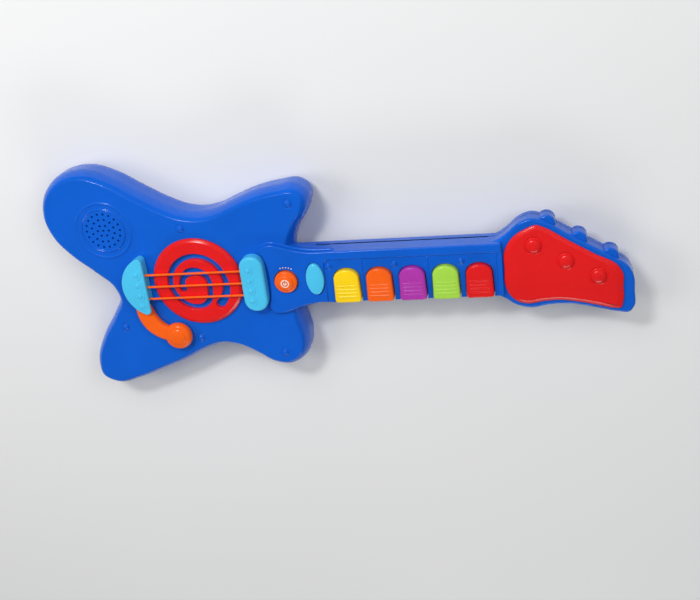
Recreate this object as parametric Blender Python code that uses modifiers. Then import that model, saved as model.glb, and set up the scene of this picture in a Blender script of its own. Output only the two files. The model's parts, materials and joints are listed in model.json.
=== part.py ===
"""Toy electric guitar with strum strings, whammy bar, five keys and two buttons.

The guitar lies on its back: +X runs from the body to the head, +Z out of the face.
Dimensions are millimetres from the centre of the round sound disc, and the helpers
turn them into metres. The frame empty then puts the middle of the back at the origin.
"""
import math

import bmesh
import bpy
from mathutils import Matrix, Vector

MM = 0.001
GAP = 0.3                      # left between pieces that touch
WALL = 2.3
SIDE = (5.3, 12.5)             # how far the body's sides bulge out, and how deep each bulge is

# Levels above the surface that the guitar lies on
PARTING = 20.0                 # the front shell's rim
FACE = 33.0                    # body and head face
PANEL = 36.0                   # key panel on the neck
HEEL = 37.2                    # heel plate and the rail along the neck
NECK_BACK = 10.0
HEAD_BACK = 13.0
BOTTOM = 8.0                   # where the front shell's blocks start, below the parting plane
DEEP = 30.0                    # where the rear shell's blocks end, above the parting plane
DISC_TOP = 36.5
BRIDGE_TOP = 44.0
PICKUP_TOP = 41.8
STRING_Z = 38.8

# Outlines, counterclockwise
BODY_POINTS = [
    (72, -30), (72, 0), (74, 27), (80, 41), (89.5, 55), (91, 63), (86, 67.5), (72, 67), (54, 63.5),
    (36, 57), (22, 51.5), (8, 49.3), (-8, 51.5), (-24, 58.5), (-44, 70.5), (-62, 82), (-80, 88.5),
    (-98, 86), (-111, 75), (-116, 58), (-112, 42), (-100, 26), (-84, 11.5), (-71, -2), (-67.5, -15),
    (-76.5, -32), (-89.5, -50.5), (-98.3, -70), (-98, -82), (-87, -88), (-70, -84.5), (-48, -76.5),
    (-24, -67), (-8, -59.2), (9, -54.2), (26, -57.4), (40, -65.2), (52, -72.8), (64, -74.3),
    (73, -68), (76, -55), (73.5, -40)]
HEAD_POINTS = [
    (224, -20.4), (232, -21.8), (239, -25.6), (247, -31.2), (258, -34.2), (272, -32.2), (288, -32.2),
    (306, -36), (322, -39.8), (331, -40.4), (334.5, -36), (335, -24), (334.5, -12), (331, -3.6),
    (320, 4.6), (302, 15.8), (284, 27), (270, 35.6), (261, 38), (252, 35), (243, 27.5),
    (235, 22.2), (224, 20.4)]
PANEL_POINTS = [
    (240, 0), (240.2, -14.7), (243, -21.7), (248, -26.9), (256, -29.4), (268, -27.9), (280, -27.4),
    (294, -29.4), (308, -32.7), (319, -35.4), (324.5, -35.4), (326.3, -30), (326.5, -18), (326.3, -7.5),
    (323.5, -2.2), (306, 8.8), (285, 22), (271, 31), (264.5, 33.4), (256.5, 30.6), (249, 26.2),
    (243.8, 20.3), (240.5, 13)]
HEEL_POINTS = [
    (57.3, -16), (57.3, 13), (55.4, 19.5), (52.6, 23.4), (56, 27), (62, 28.7), (70, 27), (80, 23.8),
    (90, 21.8), (104, 20.9), (237.2, 20.9), (238, 17.6), (237.2, 14.4),
    (108, 14.4), (103, 10), (103, -15), (99, -20.6), (89, -22.4), (79, -25), (71, -28), (64, -29.4),
    (58.5, -28.4), (55.6, -24)]
OUTLINE_STEPS = 2              # straight stretches between two of their points
NECK_HALF = 21.2
NECK_START = 66.0
HEEL_HOLLOW_START = 59.0
NECK_END = 238.6
TUNER_RADIUS = 6.7

DISC_RADIUS = 36.4
# The swirl's arcs from its bulb inwards: centre, radius, first and last angle in degrees
SWIRL_ARCS = [((0.6, -2.5), 22.4, -47, 20), ((0, -0.4), 22.4, 30, 190), ((-1.2, -0.6), 20.9, 200, 256),
              ((-3.6, -8.7), 12.6, 282, 350), ((-1.65, -1.85), 11.25, -6, 196)]
# Its half width at each fraction of its way
SWIRL_HALF_WIDTHS = [(0, 3.7), (0.05, 3.2), (0.1, 2.3), (0.68, 2.2), (0.78, 3.2), (0.86, 3.4), (0.93, 2.3),
                     (1, 2.9)]

BRIDGE_HALF_LENGTH = 25.5
BRIDGE_EDGE = -40.8
BRIDGE_BULGE = 20.0            # how far its arc stands left of its straight edge
PICKUP_CENTRE = (46.5, -1.8)
PICKUP_SIZE = (19.0, 46.0)
PICKUP_CORNER = 9.2
STRING_PITCH = 10.2
STRING_MIDDLE = -1.2
STRING_RADIUS = 0.9
STRINGS = ["string_low", "string_middle", "string_high"]
STRING_PIVOT = 42.0
STRING_END = -43.6
STRING_EYE = 1.6               # from the pivot to where the rod starts

WHAMMY_PIVOT = (-50.2, -14.6)
WHAMMY_PATH = [(-50.2, -14.6), (-48.3, -24), (-45.6, -31.5), (-41.6, -37.3), (-35.8, -41.8), (-29.3, -44.5)]
WHAMMY_HALF_WIDTHS = [5.2, 6.9, 7.3, 7.0, 6.5, 6.2]
WHAMMY_KNOB = (-24.0, -45.6)
WHAMMY_BOTTOM = 33.9
WHAMMY_TOP = 39.6
WHAMMY_RELIEF = 1.9            # how deep the spring sits in the bar

POWER_CENTRE = (72.0, -1.8)
POWER_RADIUS = 9.05
MODE_CENTRE = (95.3, -0.5)
MODE_RADII = (7.1, 13.1)
LIP_LOW = 31.9                 # retaining lips of buttons and keys, under the panel
LIP_HIGH = 33.4
LIP = 1.2                      # how far they stand out
STEM_RADIUS = 3.0
BUTTON_STEM_END = 28.3
KEY_STEM_END = 24.0

KEY_COLOURS = ["yellow", "orange", "purple", "green", "red"]
KEY_FIRST = 119.7
KEY_PITCH = 25.4
KEY_HALF_WIDTH = 10.3
KEY_LOW_END = -20.9
KEY_SHOULDER = -1.0            # where the rounded end starts
KEY_ROUND = 7.4
KEY_TOP = 40.6
KEY_CLEARANCE = 0.35
KEY_STEM_Y = -6.0

BODY_STUDS = [(-7, 44), (-69.5, -38.5), (-7, -50.3), (61, -66), (81, 60)]
LED_STUDS = 4                  # the first of them that cover a light
NECK_STUDS = [(106.6 + 2 * KEY_PITCH * i, 8.3) for i in range(3)]
BODY_POSTS = [(-92, 70), (-84, -68), (74, 52), (62, -56), (8, 38), (8, -42)]
NECK_POST = (233.0, 10.0)
HEAD_POST = (314.0, -20.0)
POST_RADIUS = 4.5
COUNTERBORE = 3.3
SCREW_LOW = 9.4                # the heads' undersides in the body
NECK_SCREW_LOW = 13.4
SCREW_TIP = 28.0
LIGHT_LOW = 25.0
NECK_LIGHT_LOW = 28.0
LIGHT_RADIUS = 1.9

MAIN_BOARD_LOW = 22.6
KEY_BOARD_LOW = 17.0
BOARD_THICKNESS = 1.6
MAIN_BOARD_POSTS = (62.0, 98.0)
BOARD_POST_Y = 12.0

SPEAKER = (-70.0, 46.0)
SPEAKER_RADIUS = 20.0
GRILLE_PITCH = 6.6
TRAY_HALF = (31.0, 25.0)
TRAY_TOP = 19.0
TRAY_WALL = 1.5
BATTERY_Z = 10.2
BATTERY_RADIUS = 7.1
BATTERY_HALF_LENGTH = 24.5     # without the positive end's button
BATTERY_PITCH = 15.2
DOOR_HINGE_X = -31.5
DOOR_HEEL = 0.8                # how far the door reaches past its hinge
DOOR_END_X = 39.0
DOOR_SCREW_X = 35.5
DOOR_HALF_WIDTH = 24.7
DOOR_LOW = 0.3

BELOW = -1.0                   # where cutters start and end, outside the guitar
ABOVE = 60.0
TRIM = ((-140, -120), (360, 120))

# Linear colours and roughness
COLOURS = {
    "blue": ((0.012, 0.105, 0.62), 0.22),
    "red": ((0.75, 0.012, 0.018), 0.24),
    "cyan": ((0.07, 0.55, 0.86), 0.25),
    "orange": ((1.0, 0.13, 0.008), 0.25),
    "yellow": ((1.0, 0.66, 0.01), 0.25),
    "purple": ((0.42, 0.03, 0.4), 0.25),
    "green": ((0.33, 0.75, 0.04), 0.25),
    "rubber": ((0.55, 0.55, 0.53), 0.7),
    "board": ((0.02, 0.22, 0.07), 0.45),
    "black": ((0.02, 0.02, 0.022), 0.5),
    "steel": ((0.62, 0.62, 0.6), 0.3),
    "paper": ((0.03, 0.03, 0.032), 0.85),
    "cell": ((0.06, 0.25, 0.12), 0.3),
    "lens": ((0.85, 0.87, 0.9), 0.1),
    "lead": ((0.6, 0.03, 0.03), 0.45),
}
METALS = {"steel"}


def setup():
    for old in list(bpy.data.objects):
        bpy.data.objects.remove(old, do_unlink=True)
    collections = []
    for name in ("toy_electric_guitar", "cutters"):
        collection = bpy.data.collections.new(name)
        bpy.context.scene.collection.children.link(collection)
        collections.append(collection)
    loop = grown(smooth_loop(BODY_POINTS, OUTLINE_STEPS), SIDE[0]) + smooth_loop(HEAD_POINTS, OUTLINE_STEPS)
    xs = [p.x for p in loop]
    ys = [p.y for p in loop]
    frame = bpy.data.objects.new("frame", None)
    collections[0].objects.link(frame)
    frame.location = (-(min(xs) + max(xs)) / 2 * MM, -(min(ys) + max(ys)) / 2 * MM, 0)
    return collections[0], collections[1], frame


def material(colour):
    found = bpy.data.materials.get(colour)
    if found:
        return found
    made = bpy.data.materials.new(colour)
    made.use_nodes = True
    rgb, roughness = COLOURS[colour]
    shader = made.node_tree.nodes["Principled BSDF"]
    shader.inputs["Base Color"].default_value = (*rgb, 1)
    shader.inputs["Roughness"].default_value = roughness
    shader.inputs["Metallic"].default_value = 1.0 if colour in METALS else 0.0
    made.diffuse_color = (*rgb, 1)
    return made


# ---- outlines

def smooth_loop(points, steps):
    """A closed cubic curve through the points, with tangents weighted by spacing."""
    points = [Vector(p) for p in points]
    count = len(points)
    tangents = []
    for i, here in enumerate(points):
        back = here - points[i - 1]
        ahead = points[(i + 1) % count] - here
        weighted = back.normalized() * ahead.length + ahead.normalized() * back.length
        tangents.append(weighted / (back.length + ahead.length))
    loop = []
    for i, here in enumerate(points):
        there = points[(i + 1) % count]
        span = (there - here).length
        leaving = tangents[i] * span
        arriving = tangents[(i + 1) % count] * span
        for step in range(steps):
            t = step / steps
            loop.append((2 * t**3 - 3 * t**2 + 1) * here + (t**3 - 2 * t**2 + t) * leaving
                        + (3 * t**2 - 2 * t**3) * there + (t**3 - t**2) * arriving)
    return loop


def grown(loop, distance):
    """The loop moved outwards along its normals, or inwards for a negative distance."""
    count = len(loop)
    moved = []
    for i, here in enumerate(loop):
        along = loop[(i + 1) % count] - loop[i - 1]
        moved.append(here + Vector((along.y, -along.x)).normalized() * distance)
    return moved


def arc(centre, radii, first, last, count):
    """Points on an ellipse's arc, angles in degrees, both ends included."""
    points = []
    for i in range(count):
        angle = math.radians(first + (last - first) * i / (count - 1))
        points.append(Vector(centre) + Vector((radii[0] * math.cos(angle), radii[1] * math.sin(angle))))
    return points


def ellipse(centre, radii, count):
    return arc(centre, radii, 0, 360, count + 1)[:-1]


def rectangle(low, high):
    return [Vector(low), Vector((high[0], low[1])), Vector(high), Vector((low[0], high[1]))]


def rounded_rectangle(centre, size, radius, count):
    loop = []
    for quarter, (sx, sy) in enumerate([(1, 1), (-1, 1), (-1, -1), (1, -1)]):
        corner = (centre[0] + sx * (size[0] / 2 - radius), centre[1] + sy * (size[1] / 2 - radius))
        loop += arc(corner, (radius, radius), 90 * quarter, 90 * quarter + 90, count)
    return loop


def stroke(path, half_widths, count):
    """The outline of a path drawn with a round pen of the given half widths."""
    path = [Vector(p) for p in path]
    left, right = [], []
    for i, here in enumerate(path):
        along = (path[min(i + 1, len(path) - 1)] - path[max(i - 1, 0)]).normalized()
        side = Vector((-along.y, along.x)) * half_widths[i]
        left.append(here + side)
        right.append(here - side)
    ahead = path[-1] - path[-2]
    behind = path[0] - path[1]
    tip = math.degrees(math.atan2(ahead.y, ahead.x))
    tail = math.degrees(math.atan2(behind.y, behind.x))
    nose = arc(path[-1], (half_widths[-1],) * 2, tip - 90, tip + 90, count)[1:-1]
    heel = arc(path[0], (half_widths[0],) * 2, tail - 90, tail + 90, count)[1:-1]
    return right + nose + left[::-1] + heel


def half_moon(growth):
    """The bridge's outline: a straight edge and the arc left of it, grown or shrunk."""
    radius = (BRIDGE_HALF_LENGTH**2 + BRIDGE_BULGE**2) / (2 * BRIDGE_BULGE)
    centre = BRIDGE_EDGE - BRIDGE_BULGE + radius
    edge = BRIDGE_EDGE + growth
    reach = math.degrees(math.acos((edge - centre) / (radius + growth)))
    return arc((centre, 0), (radius + growth,) * 2, reach, 360 - reach, 22)


def key_outline(middle, growth):
    """A key seen from above: straight sides that narrow a little, and a rounded far end."""
    half = KEY_HALF_WIDTH + growth
    shoulder = half - 0.5
    low_end = KEY_LOW_END - growth
    dome = arc((middle, KEY_SHOULDER), (shoulder, KEY_ROUND + growth), 0, 180, 9)
    return [Vector((middle - half, low_end)), Vector((middle + half, low_end))] + dome


HEAD_SLANT = (Vector((326, 0.9)) - Vector((266, 38.3))).normalized()
HEAD_NORMAL = Vector((-HEAD_SLANT.y, HEAD_SLANT.x))


def tuner_centres():
    """The three tuner lumps, on the head's slanted edge beside the panel's domes."""
    return [Vector((272.2, 32.6)) + HEAD_SLANT * 26.6 * i for i in range(3)]


def dome_centres():
    return [Vector((262.2, 17.7)) + Vector((23.2, -13.1)) * i for i in range(3)]


# ---- solids

def place(name, data, location=(0, 0, 0), cutter=False):
    obj = bpy.data.objects.new(name, data)
    (CUTTERS if cutter else PARTS).objects.link(obj)
    obj.parent = FRAME
    obj.location = [value * MM for value in location]
    if cutter:
        obj.hide_render = True
        obj.display_type = "WIRE"
    return obj


def finish(obj, colour, smooth_angle=35):
    obj.data.materials.clear()
    obj.data.materials.append(material(colour))
    if obj.type == "MESH":
        obj.data.shade_smooth()
        obj.data.set_sharp_from_angle(angle=math.radians(smooth_angle))
    return obj


def plate(name, loops, low, high, cutter=False):
    """A flat outline, with any holes as further loops, made solid between two levels."""
    return filled(name, loops, low, high, (high - low) / 2, 0, cutter)


def pillow(name, loop, low, high, side):
    """A solid between two levels whose sides bulge out of the outline: by how much, and how deep."""
    bulge, depth = side
    stretch = depth / bulge
    made = filled(name, [loop], low, high, (high - low) / 2 / stretch - bulge, bulge, False)
    made.data.transform(Matrix.Diagonal((1, 1, stretch, 1)))
    return made


def filled(name, loops, low, high, extrude, bulge, cutter):
    """The mesh of a filled outline, extruded both ways from the middle of two levels."""
    curve = bpy.data.curves.new(name, "CURVE")
    curve.dimensions = "2D"
    curve.fill_mode = "BOTH"
    curve.extrude = extrude * MM
    curve.bevel_depth = bulge * MM
    curve.bevel_resolution = 2
    for loop in loops:
        spline = curve.splines.new("POLY")
        spline.points.add(len(loop) - 1)
        for point, place_at in zip(spline.points, loop):
            point.co = (place_at[0] * MM, place_at[1] * MM, 0, 1)
        spline.use_cyclic_u = True
    holder = place(name + "_outline", curve, (0, 0, (low + high) / 2), cutter)
    bpy.context.view_layer.update()
    evaluated = holder.evaluated_get(bpy.context.evaluated_depsgraph_get())
    mesh = bpy.data.meshes.new_from_object(evaluated)
    welded = bmesh.new()
    welded.from_mesh(mesh)
    bmesh.ops.remove_doubles(welded, verts=welded.verts, dist=0.001 * MM)
    welded.to_mesh(mesh)
    welded.free()
    obj = place(name, mesh, cutter=cutter)
    obj.matrix_world = holder.matrix_world
    bpy.data.objects.remove(holder)
    bpy.data.curves.remove(curve)
    return obj


def box(name, low, high, cutter=False):
    low, high = Vector(low), Vector(high)
    cube = bmesh.new()
    bmesh.ops.create_cube(cube, size=1, matrix=Matrix.Diagonal((high - low) * MM).to_4x4())
    return meshed(name, cube, (low + high) / 2, cutter)


def boxes(name, pairs, cutter=True):
    """Separate boxes in one cutter, each given by its lowest and highest corner."""
    cubes = bmesh.new()
    for low, high in pairs:
        low, high = Vector(low) * MM, Vector(high) * MM
        spot = Matrix.Translation((low + high) / 2) @ Matrix.Diagonal(high - low).to_4x4()
        bmesh.ops.create_cube(cubes, size=1, matrix=spot)
    return meshed(name, cubes, (0, 0, 0), cutter)


def posts(name, centres, radius, low, high, sides=12, cutter=True):
    """Upright cylinders of one size, all in one mesh."""
    rods = bmesh.new()
    for x, y in centres:
        spot = Matrix.Translation(Vector((x, y, (low + high) / 2)) * MM)
        bmesh.ops.create_cone(rods, cap_ends=True, segments=sides, radius1=radius * MM, radius2=radius * MM,
                              depth=(high - low) * MM, matrix=spot)
    return meshed(name, rods, (0, 0, 0), cutter)


def domes(name, centres, level, radius, height, sides=8):
    """Flattened spheres centred on a level, to be joined to what they stand on."""
    balls = bmesh.new()
    for x, y in centres:
        spot = Matrix.Translation(Vector((x, y, level)) * MM) @ Matrix.Diagonal((1, 1, height / radius, 1))
        bmesh.ops.create_uvsphere(balls, u_segments=sides, v_segments=4, radius=radius * MM, matrix=spot)
    return meshed(name, balls, (0, 0, 0), True)


def meshed(name, bm, location, cutter):
    mesh = bpy.data.meshes.new(name)
    bm.to_mesh(mesh)
    bm.free()
    return place(name, mesh, location, cutter)


def turned(name, profile, centre, steps=20, closed=False):
    """A turned piece: the profile of radius and level runs down its outer side."""
    line = bmesh.new()
    verts = [line.verts.new((radius * MM, 0, level * MM)) for radius, level in profile]
    for a, b in zip(verts, verts[1:]):
        line.edges.new((a, b))
    if closed:
        line.edges.new((verts[-1], verts[0]))
    obj = meshed(name, line, (centre[0], centre[1], 0), False)
    screw = obj.modifiers.new("turn", "SCREW")
    screw.steps = steps
    screw.render_steps = steps
    screw.use_merge_vertices = True
    screw.merge_threshold = 0.001 * MM
    return obj


def tube(name, path, radius, colour, location=(0, 0, 0)):
    """A round wire along a path, with filled ends."""
    curve = bpy.data.curves.new(name, "CURVE")
    curve.dimensions = "3D"
    curve.bevel_depth = radius * MM
    curve.bevel_resolution = 1
    curve.use_fill_caps = True
    spline = curve.splines.new("POLY")
    spline.points.add(len(path) - 1)
    for point, spot in zip(spline.points, path):
        point.co = (*(value * MM for value in spot), 1)
    return finish(place(name, curve, location), colour)


def bevel(obj, width, segments=2, angle=40):
    rounding = obj.modifiers.new("rounding", "BEVEL")
    rounding.width = width * MM
    rounding.segments = segments
    rounding.limit_method = "ANGLE"
    rounding.angle_limit = math.radians(angle)
    return obj


def boolean(target, operation, *others):
    for other in others:
        step = target.modifiers.new(other.name, "BOOLEAN")
        step.operation = operation
        step.object = other
        move_to_cutters(other)


def join(target, *others):
    boolean(target, "UNION", *others)


def cut(target, *others):
    boolean(target, "DIFFERENCE", *others)


def move_to_cutters(obj):
    for collection in list(obj.users_collection):
        collection.objects.unlink(obj)
    CUTTERS.objects.link(obj)
    obj.hide_render = True
    obj.display_type = "WIRE"


# ---- shells

def neck_block(name, growth, low, high, start=NECK_START):
    half = NECK_HALF + growth
    return plate(name, [rectangle((start, -half), (NECK_END + growth, half))], low, high)


def build_front_shell():
    body = smooth_loop(BODY_POINTS, OUTLINE_STEPS)
    head = smooth_loop(HEAD_POINTS, OUTLINE_STEPS)
    heel = [Vector(point) for point in HEEL_POINTS]
    shell = pillow("front_shell", body, 0, FACE, SIDE)
    neck = bevel(neck_block("front_neck", 0, BOTTOM - 1, PANEL), 1.2, 1)
    plate_and_rail = bevel(plate("heel_and_rail", [heel], BOTTOM + 1, HEEL), 0.9, 1)
    headstock = bevel(plate("front_head", [head], BOTTOM + 2, FACE), 2.2, 1)
    tuners = bevel(posts("tuner_lumps", tuner_centres(), TUNER_RADIUS, BOTTOM + 3, FACE - 2, 12), 1.5, 1)
    join(shell, neck, plate_and_rail, headstock, tuners)
    cut(shell,
        pillow("front_body_hollow", body, WALL, FACE - WALL, [size - WALL for size in SIDE]),
        neck_block("front_neck_hollow", -WALL, BOTTOM - 3, PANEL - WALL, HEEL_HOLLOW_START),
        plate("front_head_hollow", [grown(head, -WALL)], BOTTOM - 4, FACE - WALL - 0.1))
    screws = BODY_POSTS + [NECK_POST, HEAD_POST]
    body_lights = BODY_STUDS[:LED_STUDS]
    join(shell,
         domes("body_studs", BODY_STUDS, FACE - 0.2, 2.8, 1.8),
         domes("neck_studs", NECK_STUDS, PANEL - 0.2, 2.3, 1.6),
         posts("front_posts", BODY_POSTS + [HEAD_POST], POST_RADIUS, BOTTOM, FACE - 1, 10),
         posts("front_neck_post", [NECK_POST], POST_RADIUS, BOTTOM, PANEL - 1, 10),
         posts("body_light_sleeves", body_lights, LIGHT_RADIUS + 1.5, LIGHT_LOW + 1.5, FACE - 1, 8),
         posts("neck_light_sleeves", NECK_STUDS, LIGHT_RADIUS + 1.5, NECK_LIGHT_LOW + 1.5, PANEL - 1, 8),
         posts("speaker_ring", [SPEAKER], SPEAKER_RADIUS + 2.6, 25, FACE - 1, 24))
    notches = [plate(f"key_notch_{i}", [notch_outline(i)], 29.5, ABOVE) for i in range(len(KEY_COLOURS))]
    cut(shell,
        posts("speaker_seat", [SPEAKER], SPEAKER_RADIUS + 0.6, PARTING, FACE - WALL, 24),
        posts("front_screw_holes", screws, 1.4, BOTTOM - 1, 30, 6),
        posts("body_light_bores", body_lights, LIGHT_RADIUS + 0.4, PARTING, FACE - WALL, 8),
        posts("neck_light_bores", NECK_STUDS, LIGHT_RADIUS + 0.4, PARTING, PANEL - WALL, 8),
        posts("grille_holes", grille_centres(), 1.2, 28, ABOVE, 6),
        posts("power_hole", [POWER_CENTRE], POWER_RADIUS + 0.55, 28, ABOVE, 20),
        plate("mode_hole", [ellipse(MODE_CENTRE, [r + 0.4 for r in MODE_RADII], 18)], 28, ABOVE),
        posts("whammy_pin_hole", [WHAMMY_PIVOT], 1.9, 28, 36, 10),
        *notches,
        box("front_trim", (*TRIM[0], BELOW), (*TRIM[1], PARTING)))
    return finish(shell, "blue")


def notch_outline(index):
    """A key's slot, which runs out through the neck's lower side."""
    loop = key_outline(KEY_FIRST + KEY_PITCH * index, KEY_CLEARANCE)
    for corner in loop[:2]:
        corner.y -= 3
    return loop


def grille_centres():
    """Rings of holes around the middle one."""
    centres = [Vector(SPEAKER)]
    for ring in (1, 2):
        for i in range(6 * ring):
            angle = 2 * math.pi * i / (6 * ring)
            spoke = Vector((math.cos(angle), math.sin(angle)))
            centres.append(Vector(SPEAKER) + spoke * GRILLE_PITCH * ring)
    return centres


def build_rear_shell():
    body = smooth_loop(BODY_POINTS, OUTLINE_STEPS)
    head = smooth_loop(HEAD_POINTS, OUTLINE_STEPS)
    shell = pillow("rear_shell", body, 0, FACE, SIDE)
    neck = bevel(neck_block("rear_neck", 0, NECK_BACK, DEEP + 1), 5.5)
    headstock = bevel(plate("rear_head", [head], HEAD_BACK, DEEP + 2), 3, 1)
    tuners = posts("rear_tuner_lumps", tuner_centres(), TUNER_RADIUS, HEAD_BACK + 3.5, DEEP + 3, 12)
    bevel(tuners, 1.5, 1)
    join(shell, neck, headstock, tuners)
    cut(shell,
        pillow("rear_body_hollow", body, WALL, FACE - WALL, [size - WALL for size in SIDE]),
        bevel(neck_block("rear_neck_hollow", -WALL, NECK_BACK + WALL, DEEP + 5), 4),
        bevel(plate("rear_head_hollow", [grown(head, -WALL)], HEAD_BACK + WALL, DEEP + 6), 1.8, 1))
    join(shell,
         posts("rear_posts", BODY_POSTS, POST_RADIUS, 1, 40, 10),
         posts("rear_neck_post", [NECK_POST, HEAD_POST], POST_RADIUS, HEAD_BACK + 1, 41, 10))
    cut(shell, box("rear_trim", (*TRIM[0], PARTING - GAP), (*TRIM[1], ABOVE)))
    body_x, neck_x = MAIN_BOARD_POSTS
    board_rest = MAIN_BOARD_LOW - GAP
    ribs = [((x, -14, NECK_BACK + 1), (x + 2, 14, KEY_BOARD_LOW - GAP)) for x in (118, 168, 218)]
    join(shell,
         posts("main_board_posts", [(body_x, -BOARD_POST_Y), (body_x, BOARD_POST_Y)], 2.6, 1, board_rest, 8),
         posts("main_board_neck_posts", [(neck_x, -BOARD_POST_Y), (neck_x, BOARD_POST_Y)], 2.6,
               NECK_BACK + 1, board_rest, 8),
         boxes("key_board_ribs", ribs))
    opening_side = DOOR_HALF_WIDTH + 0.4
    cut(shell,
        posts("rear_counterbores", BODY_POSTS, COUNTERBORE, BELOW - 1, SCREW_LOW + 2.3, 10),
        posts("neck_counterbores", [NECK_POST, HEAD_POST], COUNTERBORE, 5, NECK_SCREW_LOW + 2.3, 10),
        posts("rear_screw_holes", BODY_POSTS + [NECK_POST, HEAD_POST], 1.6, 5, 30, 6),
        box("door_opening", (DOOR_HINGE_X - 1.8, -opening_side, BELOW),
            (DOOR_END_X + 0.4, opening_side, WALL + 1)))
    return finish(shell, "blue")


def build_headstock_panel():
    panel = plate("headstock_panel", [smooth_loop(PANEL_POINTS, OUTLINE_STEPS)], FACE + GAP, PANEL + 0.4)
    bevel(panel, 1.6, 1)
    join(panel, domes("panel_domes", dome_centres(), PANEL + 0.3, 5.8, 2.6, 12))
    return finish(panel, "red")


# ---- covers on the face

def swirl_path():
    path = []
    for centre, radius, first, last in SWIRL_ARCS:
        path += arc(centre, (radius,) * 2, first, last, round(abs(last - first) / 22))
    return path


def between(pairs, at):
    """The value at a fraction, on straight lines through (fraction, value) pairs."""
    for (start, first), (end, last) in zip(pairs, pairs[1:]):
        if at <= end:
            return first + (last - first) * (at - start) / (end - start)
    return pairs[-1][1]


def build_disc():
    path = swirl_path()
    widths = [between(SWIRL_HALF_WIDTHS, i / (len(path) - 1)) for i in range(len(path))]
    profile = [(0, DISC_TOP), (DISC_RADIUS - 3, DISC_TOP), (DISC_RADIUS - 0.8, DISC_TOP - 0.9),
               (DISC_RADIUS, DISC_TOP - 2), (DISC_RADIUS, FACE + GAP), (0, FACE + GAP)]
    disc = turned("spiral_disc", profile, (0, 0), 36)
    cut(disc, plate("swirl", [stroke(path, widths, 7)], FACE - 2, DISC_TOP + 2))
    return finish(disc, "red")


def string_levels():
    """Where the strings lie across the guitar, the low one first."""
    return [STRING_MIDDLE + STRING_PITCH * i for i in (-1, 0, 1)]


def string_holes(name, start, end, half_width, half_height):
    low, high = STRING_Z - half_height, STRING_Z + half_height
    return boxes(name, [((start, y - half_width, low), (end, y + half_width, high)) for y in string_levels()])


def build_bridge():
    bridge = bevel(plate("bridge_cover", [half_moon(0)], FACE + GAP, BRIDGE_TOP), 1.4)
    cut(bridge,
        plate("bridge_hollow", [half_moon(-2)], FACE - 3, BRIDGE_TOP - 2),
        string_holes("string_slots", BRIDGE_EDGE - 4, BRIDGE_EDGE + 4, 2.7, 1.5),
        box("whammy_opening", (-75, -40, FACE - 2), (-35, -12.5, 41.3)))
    finish(bridge, "cyan")
    board = box("strum_board", (-54.5, -7, FACE + 0.6), (-45.5, 12, FACE + 2.2))
    finish(board, "board")


def build_pickup():
    outer = rounded_rectangle(PICKUP_CENTRE, PICKUP_SIZE, PICKUP_CORNER, 6)
    inner = rounded_rectangle(PICKUP_CENTRE, [s - 3.6 for s in PICKUP_SIZE], PICKUP_CORNER - 1.8, 6)
    pickup = bevel(plate("pickup_cover", [outer], FACE + GAP, PICKUP_TOP), 1.4)
    left = PICKUP_CENTRE[0] - PICKUP_SIZE[0] / 2
    cut(pickup,
        plate("pickup_hollow", [inner], FACE - 2, PICKUP_TOP - 1.6),
        string_holes("string_windows", left - 3, left + 3, 1.4, 1.3))
    finish(pickup, "cyan")
    pins = [(STRING_PIVOT, y) for y in string_levels()]
    anchor = box("string_anchor", (39.4, pins[0][1] - 4, FACE + 0.6), (50, pins[-1][1] + 4, STRING_Z - 1.4))
    join(anchor, posts("anchor_pins", pins, 0.8, FACE + 2, STRING_Z + 1.1, 8))
    finish(anchor, "black")


def build_strings():
    reach = STRING_PIVOT - STRING_EYE - STRING_END
    middle = Vector((-STRING_EYE - reach / 2, 0, 0))
    for name, y in zip(STRINGS, string_levels()):
        rod = bmesh.new()
        lying = Matrix.Translation(middle * MM) @ Matrix.Rotation(math.pi / 2, 4, "Y")
        bmesh.ops.create_cone(rod, cap_ends=True, segments=12, radius1=STRING_RADIUS * MM,
                              radius2=STRING_RADIUS * MM, depth=reach * MM, matrix=lying)
        string = meshed(name, rod, (STRING_PIVOT, y, STRING_Z), False)
        eye = posts(name + "_eye", [(STRING_PIVOT, y)], 2.2, STRING_Z - 1.05, STRING_Z + 1.1, 14)
        join(string, eye)
        cut(string, posts(name + "_eye_hole", [(STRING_PIVOT, y)], 1.15, STRING_Z - 3, STRING_Z + 3, 10))
        finish(string, "orange")


def build_whammy():
    pivot = Vector(WHAMMY_PIVOT)
    arm = stroke(WHAMMY_PATH, WHAMMY_HALF_WIDTHS, 9)
    bar = bevel(plate("whammy_bar", [arm], WHAMMY_BOTTOM, WHAMMY_TOP), 1.8)
    bar.data.transform(Matrix.Translation((-pivot * MM).to_3d()))
    bar.location.x += pivot.x * MM
    bar.location.y += pivot.y * MM
    knob_bottom = WHAMMY_BOTTOM - 0.2
    knob = [(0, 42.6), (4.6, 42.4), (5.2, 41.6), (9.2, 40.6), (11, 38.8), (11.3, 37), (10.8, 35),
            (9.6, knob_bottom), (0, knob_bottom)]
    join(bar, turned("whammy_knob", knob, WHAMMY_KNOB, 20))
    floor = WHAMMY_TOP - WHAMMY_RELIEF
    cut(bar,
        posts("whammy_relief", [WHAMMY_PIVOT], 6.4, floor, ABOVE, 20),
        posts("whammy_bore", [WHAMMY_PIVOT], 2.1, PARTING, ABOVE, 12))
    finish(bar, "orange")
    head, neck = floor + 3.5, floor + 2.7
    pin = [(0, head), (3.6, head), (4, head - 0.4), (4, neck), (1.7, neck), (1.7, 29), (0, 29)]
    finish(turned("whammy_pin", pin, WHAMMY_PIVOT, 14), "steel")
    coil = helix(3, 0.62, 2.5)
    tube("whammy_spring", coil, 0.24, "steel", (*WHAMMY_PIVOT, floor + 0.6))


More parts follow.
